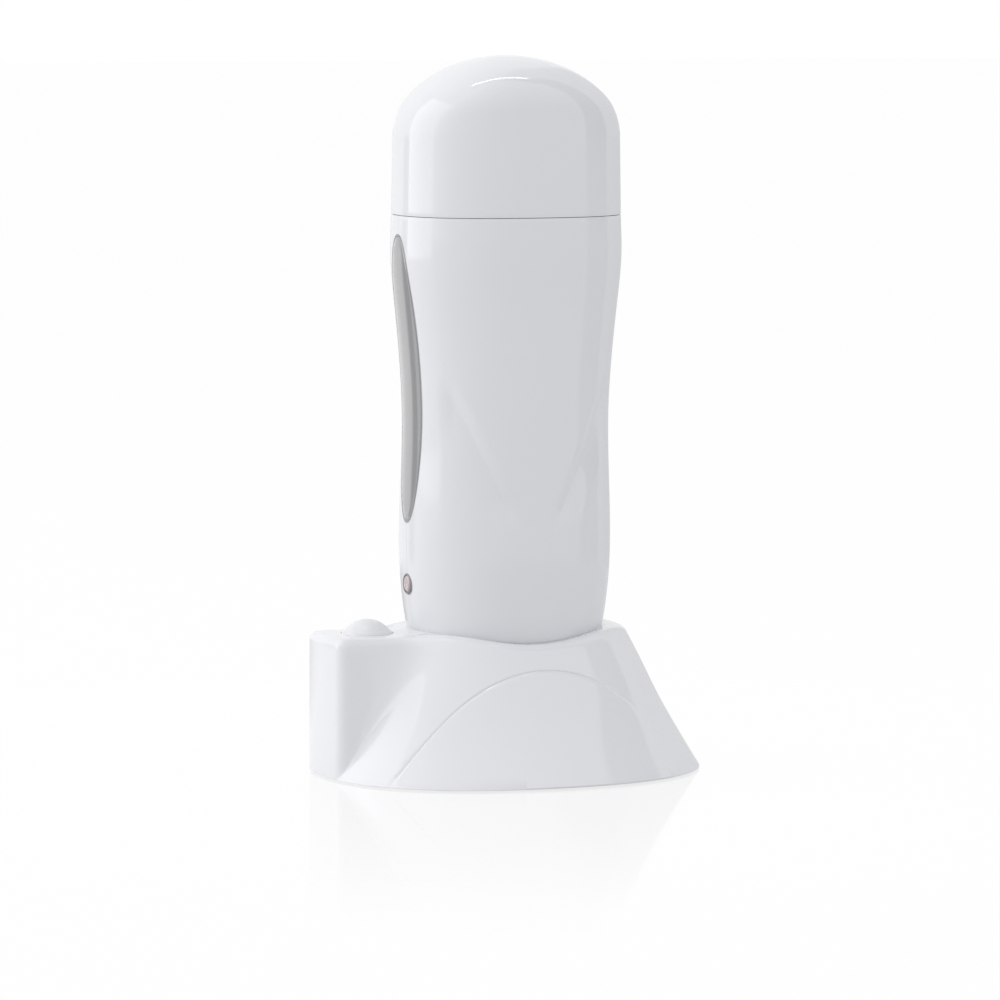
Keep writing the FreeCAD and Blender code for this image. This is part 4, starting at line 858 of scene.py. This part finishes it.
def crease_relief(x, z):
    """How far the front lies behind the handset's plain outline, beside the tongue. The
    narrow sides, with the window's edge at the left, keep the plain outline."""
    arm_x = (z - crease_low_z) * crease_lean
    out = (np.abs(x) - arm_x) / math.sqrt(1 + crease_lean**2)
    step = np.clip(out / crease_width, 0, 1) ** 1.3
    back = 1 - ease(crease_width, crease_fade, out)
    along = ease(*crease_start_zs, z) * (1 - ease(*crease_end_zs, z))
    clear_of_sides = (1 - ease(*left_side_xs, -x)) * (1 - ease(*right_side_xs, x))
    return crease_depth * step * back * along * clear_of_sides


def half_shell(name, side, creased):
    """One half: side is -1 for the front, 1 for the rear. The rows lie closest together over
    the creases' heights."""
    edge = parting_round / handset_half_widths[3]
    middle = np.linspace(edge * 4, math.pi - edge * 4, 290)
    spread = np.concatenate([[0, edge], middle, [math.pi - edge, math.pi]])
    angles = math.pi - side * spread
    low_z, high_z = 60, 126
    outer_z = np.concatenate([
        np.linspace(shell_bottom_z + bottom_round, low_z, 26)[:-1],
        np.linspace(low_z, high_z, 151)[:-1],
        np.linspace(high_z, seam_z - seam_round, 34),
    ])
    cos = np.cos(angles)
    sin = np.sin(angles)
    trim = np.zeros(len(angles))
    trim[0] = trim[-1] = parting_round
    opening = slot_reach(6.5, 3.0, cos, sin)
    loop = []

    def ring(reach, z):
        loop.append(np.stack([cos * reach, sin * reach, np.broadcast_to(z, reach.shape)], -1))

    def outside(z, grow=0.0):
        return handset_reach(angles, np.full(len(angles), z), grow)

    bottom_reach = outside(shell_bottom_z + 0.2)
    ring(opening, shell_bottom_z)
    ring(opening + (bottom_reach - opening) * 0.5, shell_bottom_z)
    for degrees in (0, 18, 36, 54, 72):
        turn = math.radians(degrees)
        reach = bottom_reach - bottom_round + bottom_round * math.sin(turn)
        ring(reach - trim, shell_bottom_z + bottom_round - bottom_round * math.cos(turn))
    for z in outer_z:
        reach = outside(z)
        if creased:
            reach = reach - crease_relief(cos * reach, z)
        ring(reach - trim, z)
    top_reach = outside(seam_z)
    ring(top_reach - seam_round_middle - trim, seam_z - seam_round_middle)
    ring(top_reach - seam_round - trim, seam_z)
    ring(outside(seam_z, -shell_wall), seam_z)
    for z in np.linspace(seam_z - 4, shell_bottom_z + shell_wall, 34):
        ring(outside(z, -shell_wall), z)
    ring(opening, shell_bottom_z + shell_wall)
    across = len(angles)
    faces = grid_faces(len(loop), across, True, False)
    for column in (0, across - 1):
        faces.append([row * across + column for row in range(len(loop))])
    return mesh_object(name, np.concatenate(loop), faces)


front_shell = half_shell("handset_front_half", -1, True)
rear_shell = half_shell("handset_rear_half", 1, False)

window_mid_z = 118.6
window_exponent = 2.5
window_angles = np.linspace(0, 2 * math.pi, 240, endpoint=False)
indicator_z = 57.0


def window_edge(half_width, half_height):
    """Outline of the level window, seen along X: depth and height of each point."""
    angles = window_angles
    reach = oval_reach(half_width, half_height, window_exponent, angles)
    return np.stack([reach * np.cos(angles), window_mid_z + reach * np.sin(angles)], -1)


def side_tool(name, outline, x0, x1):
    """Closed prism along X through an outline in depth and height."""
    count = len(outline)
    near = np.column_stack([np.full(count, x0), outline])
    far = np.column_stack([np.full(count, x1), outline])
    faces = [[k, (k + 1) % count, count + (k + 1) % count, count + k] for k in range(count)]
    faces.append(list(range(count)))
    faces.append(list(range(2 * count - 1, count - 1, -1)))
    return mesh_object(name, np.concatenate([near, far]), faces)


def window_tool():
    return side_tool("window_tool", window_edge(8.7, 43.3), -60, -20)


def indicator_tool():
    profile = [(0.0, -60.0), (2.9, -60.0), (2.9, -20.0), (0.0, -20.0)]
    return turned_piece("indicator_tool", profile, [(0, 0, indicator_z)], "X", 64)


cut_from(front_shell, [window_tool(), indicator_tool()])
screw_profile = [(0.0, 9.5), (2.7, 9.5), (2.7, 40.0), (0.0, 40.0)]
screw_places = [(-20, 0, 32), (20, 0, 32)]
screw_tool = turned_piece("screw_tool", screw_profile, screw_places, "Y", 48)
cut_from(rear_shell, [window_tool(), indicator_tool(), screw_tool])
# the base's white ABS with the same mirror gloss, its colour painted a shade greyer as painted
# shade, so that the taller pieces don't burn out in the light
shaded_white_abs = moulded_plastic("white_abs_gloss_painted_shade", "#e1e2e4", "#dddee0", 0.07, 6.0, 0.006)
for shell, node in ((front_shell, "handset_front_shell"), (rear_shell, "handset_rear_shell")):
    shell.data.materials.clear()
    shell.data.materials.append(shaded_white_abs)
    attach(shell, "handset")
    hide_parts(node)


# ---- Level window ----
# A long smoked polycarbonate lens that follows the narrow side from seam to waist, so that the
# wax can be seen, held in a thin grey frame of moulded-on TPE. Both lie flush with the shells.
def along_side(y, z, depth):
    """Points at a depth under the handset's narrow side."""
    return np.stack([depth - along_surface(y, z), y, z], -1)


def curved_lens(name, half_width, half_height, thickness, sink, rounding):
    """Lens that follows the narrow side, its outer edge rounded."""
    angles = window_angles
    reach = oval_reach(half_width, half_height, window_exponent, angles)
    loop = []

    def ring(share, trim, depth):
        y = (reach - trim) * share * np.cos(angles)
        z = (reach - trim) * share * np.sin(angles) + window_mid_z
        loop.append(along_side(y, z, depth))

    for share in np.linspace(0, 1, 16)[:-1]:
        ring(share, rounding, sink)
    for degrees in (0, 30, 60, 90):
        turn = math.radians(degrees)
        ring(1.0, rounding * (1 - math.sin(turn)), sink + rounding * (1 - math.cos(turn)))
    for share in (1.0, 0.75, 0.5, 0.25, 0.0):
        ring(share, 0.0, thickness)
    faces = grid_faces(len(loop), len(angles), False, True)
    return mesh_object(name, np.concatenate(loop), faces)


def curved_frame(name, half_width, half_height, band, thickness, sink):
    """Ring round the lens: a rounded bead on its face."""
    angles = window_angles
    outer = oval_reach(half_width, half_height, window_exponent, angles)
    inner = oval_reach(half_width - band, half_height - band, window_exponent, angles)
    loop = []
    bead = [(0.0, 0.12), (0.15, 0.03), (0.5, 0.0), (0.85, 0.03), (1.0, 0.12)]
    section = [(share, sink + drop) for share, drop in bead]
    section.extend([(1.0, thickness), (0.0, thickness)])
    for share, depth in section:
        reach = inner + (outer - inner) * share
        y = reach * np.cos(angles)
        z = reach * np.sin(angles) + window_mid_z
        loop.append(along_side(y, z, depth))
    faces = grid_faces(len(loop), len(angles), True, True)
    return mesh_object(name, np.concatenate(loop), faces)


def smoked_plastic(name, colour, shade, roughness, clear_share):
    """Tinted clear plastic: a see-through share over a cloudy body that drifts in tone, under
    a hard gloss with a faint moulding ripple."""
    material, tree, place = blank_material(name)
    cloud_mm = 22
    ripple_mm = 6
    cloud = wander(tree, place, cloud_mm, {"Detail": 2.0})
    tone = two_tone(tree, colour, shade, cloud.outputs["Fac"])
    ripple = wander(tree, place, ripple_mm, {"Detail": 1.0})
    relief = raised(tree, 1.0, 0.00001, ripple.outputs["Fac"])
    gloss = gloss_range(tree, ripple.outputs["Fac"], roughness * 0.7, roughness * 1.3)
    clear_coat = {"Coat Weight": 1.0, "Coat Roughness": 0.05}
    skin_over(
        tree, {"IOR": 1.585, "Transmission Weight": clear_share, **clear_coat}, tone, gloss, relief
    )
    return material


# a mid grey that reads as deep rather than painted, with a crisp reflection on top
smoked_window = smoked_plastic("smoked_polycarbonate_moulded", "#9a9a99", "#929295", 0.07, 0.2)
# a matt grey line that sets the glossy window off from the glossy shell
window_rubber = fine_rubber("mid_grey_tpe_overmoulded", "#a6a6a8", "#9c9c9e", 0.3)
window_lens = curved_lens("level_window_lens", 8.0, 42.6, 2.2, 0.03, 0.2)
window_lens.data.materials.append(smoked_window)
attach(window_lens, "handset")
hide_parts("window_lens")
window_frame = curved_frame("level_window_frame", 8.68, 43.28, 0.66, 2.2, 0.06)
window_frame.data.materials.append(window_rubber)
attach(window_frame, "handset")
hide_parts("window_frame")


# ---- Indicator ----
# A neon lamp behind a small domed rose lens, in a glossy warm grey ABS bezel that is pressed
# in and stands half a millimetre proud of the narrow side, below the window.
side_x = -float(along_surface(0.0, indicator_z))


def from_side(section):
    """Profile for turning, from radii and depths that count from the narrow side."""
    return [(radius, side_x + depth) for radius, depth in section]


bezel_section = [(2.62, 4.5), (2.62, -0.3), (2.68, -0.44), (2.8, -0.5), (2.93, -0.47)]
bezel_section.extend([(3.1, -0.3), (3.3, -0.04), (3.3, 0.06), (2.88, 0.12), (2.88, 4.5)])
bezel_section.append(bezel_section[0])
bezel_profile = from_side(bezel_section)
indicator_place = [(0, 0, indicator_z)]
indicator_bezel = turned_piece("indicator_bezel_ring", bezel_profile, indicator_place, "X", 72)
# a warm mid grey, glossy enough to carry one bright glint round the ring
bezel_grey = moulded_plastic("warm_grey_abs_gloss_moulded", "#918a8b", "#868080", 0.12, 2.0, 0.006)
indicator_bezel.data.materials.append(bezel_grey)
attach(indicator_bezel, "handset")
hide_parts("indicator_bezel")
lens_section = [(0.0, -0.48), (1.0, -0.48), (1.2, -0.52), (1.4, -0.63), (1.6, -0.66), (1.9, -0.6)]
lens_section.extend([(2.2, -0.46), (2.45, -0.26), (2.6, -0.1), (2.6, 1.8), (0.0, 1.8)])
lens_profile = from_side(lens_section)
indicator_lens = turned_piece("indicator_lens_dome", lens_profile, indicator_place, "X", 64)
# unlit: a pale, faintly rosy grey with some depth
rose_lens = smoked_plastic("rose_polycarbonate_moulded", "#d2c3c2", "#c6b6b5", 0.1, 0.25)
indicator_lens.data.materials.append(rose_lens)
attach(indicator_lens, "handset")
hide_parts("indicator_lens")


# ---- Inside the handset ----
# The spigot ring for the cap, the drawn aluminium well that takes the cartridge, its two PTC
# heaters under silicone foam pads, the fuse, lamp, board, screws, wires and the inlet cup.

# bright metal streaked up and down by the draw, and the duller, greyer extrusion beside it
drawn_aluminium = worked_metal("deep_drawn_aluminium", "#c9cbcd", "#b2b5b8", 0.3, (1, 1, 12), 0.4)
heater_plate = worked_metal("extruded_aluminium_heater", "#a9abaf", "#94979b", 0.4, (1, 1, 10), 0.5)
# brick red, matt, with the coarse pores of cut foam
silicone_foam = fine_rubber("red_silicone_foam_cut", "#bb5a47", "#a94c3b", 1.1)
# a soft grey metal, streaked along the fuse
tinned_case = worked_metal("tinned_copper_case_drawn", "#bfc0c1", "#a6a8aa", 0.35, (6, 1, 1), 0.3)
# clear glass, barely warm, with a hard reflection
lamp_glass = smoked_plastic("neon_lamp_glass_drawn", "#f0e2d8", "#e6d4c8", 0.03, 0.9)
# tan, half glossy, a little uneven from the dip
lacquer = moulded_plastic("tan_resistor_lacquer_dipped", "#c9a877", "#bd9b69", 0.3, 0.6, 0.02)
# the brightest metal in it, drawn out along the pins
nickel_pins = worked_metal("nickel_plated_pins_turned", "#d3d4d6", "#bdbfc2", 0.15, (1, 1, 5), 0.2)
for node, material in (
    ("neck_ring", satin_abs),
    ("heating_well", drawn_aluminium),
    ("ptc_heater_front", heater_plate),
    ("ptc_heater_rear", heater_plate),
    ("insulation_pad_front", silicone_foam),
    ("insulation_pad_rear", silicone_foam),
    ("thermal_fuse", tinned_case),
    ("neon_lamp", lamp_glass),
    ("circuit_board", board_laminate),
    ("board_screws", zinc_steel),
    ("lamp_resistor", lacquer),
    ("handset_screws", zinc_steel),
    ("handset_inlet", black_nylon),
    ("inlet_pins", nickel_pins),
    ("handset_wire_live", brown_pvc),
    ("handset_wire_neutral", blue_pvc),
):
    finish_node(node, material)


# ---- Cap ----
# One glossy white ABS dome that slides over the spigot: straight drafted sides, a tight
# shoulder and a flatter crown, leaving a fine shadow line over the shells.
cap_top_z = 215.0
cap_bottom_z = 167.55
cap_side_top_z = 188
cap_wall = 2.0


def cap_half(z, inset, seam_half, shoulder_half, shoulder_radius, crown_radius):
    """Half size of the cap at a height: draft, shoulder arc, then crown arc."""
    crown = crown_radius - inset
    shoulder = shoulder_radius - inset
    reach = shoulder_half - inset - shoulder
    crown_centre = cap_top_z - inset - crown
    rise = math.sqrt((crown - shoulder) ** 2 - reach**2)
    shoulder_centre = crown_centre + rise
    tangent_z = crown_centre + crown * rise / (crown - shoulder)
    if z >= tangent_z:
        return math.sqrt(max(crown**2 - (z - crown_centre) ** 2, 0.0))
    if z >= shoulder_centre:
        return reach + math.sqrt(shoulder**2 - (z - shoulder_centre) ** 2)
    share = (shoulder_centre - z) / (shoulder_centre - seam_z)
    return shoulder_half - inset + (seam_half - shoulder_half) * share


# half size at the seam and at the shoulder, then the radii of shoulder and crown
cap_across = (34.5, 34.1, 18.0, 42.0)
cap_deep = (26.8, 26.4, 14.0, 48.0)


def cap_rings(inset, heights, angles):
    """Rings of points round the cap, one at each height, at an inset from its outside."""
    rings = []
    for z in heights:
        half_width = cap_half(z, inset, *cap_across)
        half_depth = cap_half(z, inset, *cap_deep)
        reach = 0 * angles
        if min(half_width, half_depth) > 0:
            reach = oval_reach(half_width, half_depth, handset_exponent, angles)
        rings.append(np.stack([np.cos(angles) * reach, np.sin(angles) * reach, z + 0 * angles], -1))
    return rings


cap_angles = np.linspace(0, 2 * math.pi, 360, endpoint=False)
crown_turns = np.radians(np.linspace(0, 90, 90))
outer_heights = [cap_bottom_z + seam_round, *np.linspace(cap_bottom_z + 1.5, cap_side_top_z, 12)]
outer_heights.extend(cap_side_top_z + (cap_top_z - cap_side_top_z) * np.sin(crown_turns)[1:])
inner_crown = cap_top_z - cap_wall - cap_side_top_z
inner_heights = [*(cap_side_top_z + inner_crown * np.sin(crown_turns[::-1][::4]))]
inner_heights.extend([186, 178, cap_bottom_z])
rings = cap_rings(seam_round, [cap_bottom_z], cap_angles)
rings.extend(cap_rings(seam_round_middle, [cap_bottom_z + seam_round_middle], cap_angles))
rings.extend(cap_rings(0, outer_heights, cap_angles))
rings.extend(cap_rings(cap_wall, inner_heights, cap_angles))
faces = grid_faces(len(rings), len(cap_angles), True, True)
cap_shell = mesh_object("cap_dome", np.concatenate(rings), faces)
# the cap takes the same white ABS with painted shade: a shade greyer than the base
cap_shell.data.materials.append(shaded_white_abs)
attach(cap_shell, "cap")
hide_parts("cap_shell")
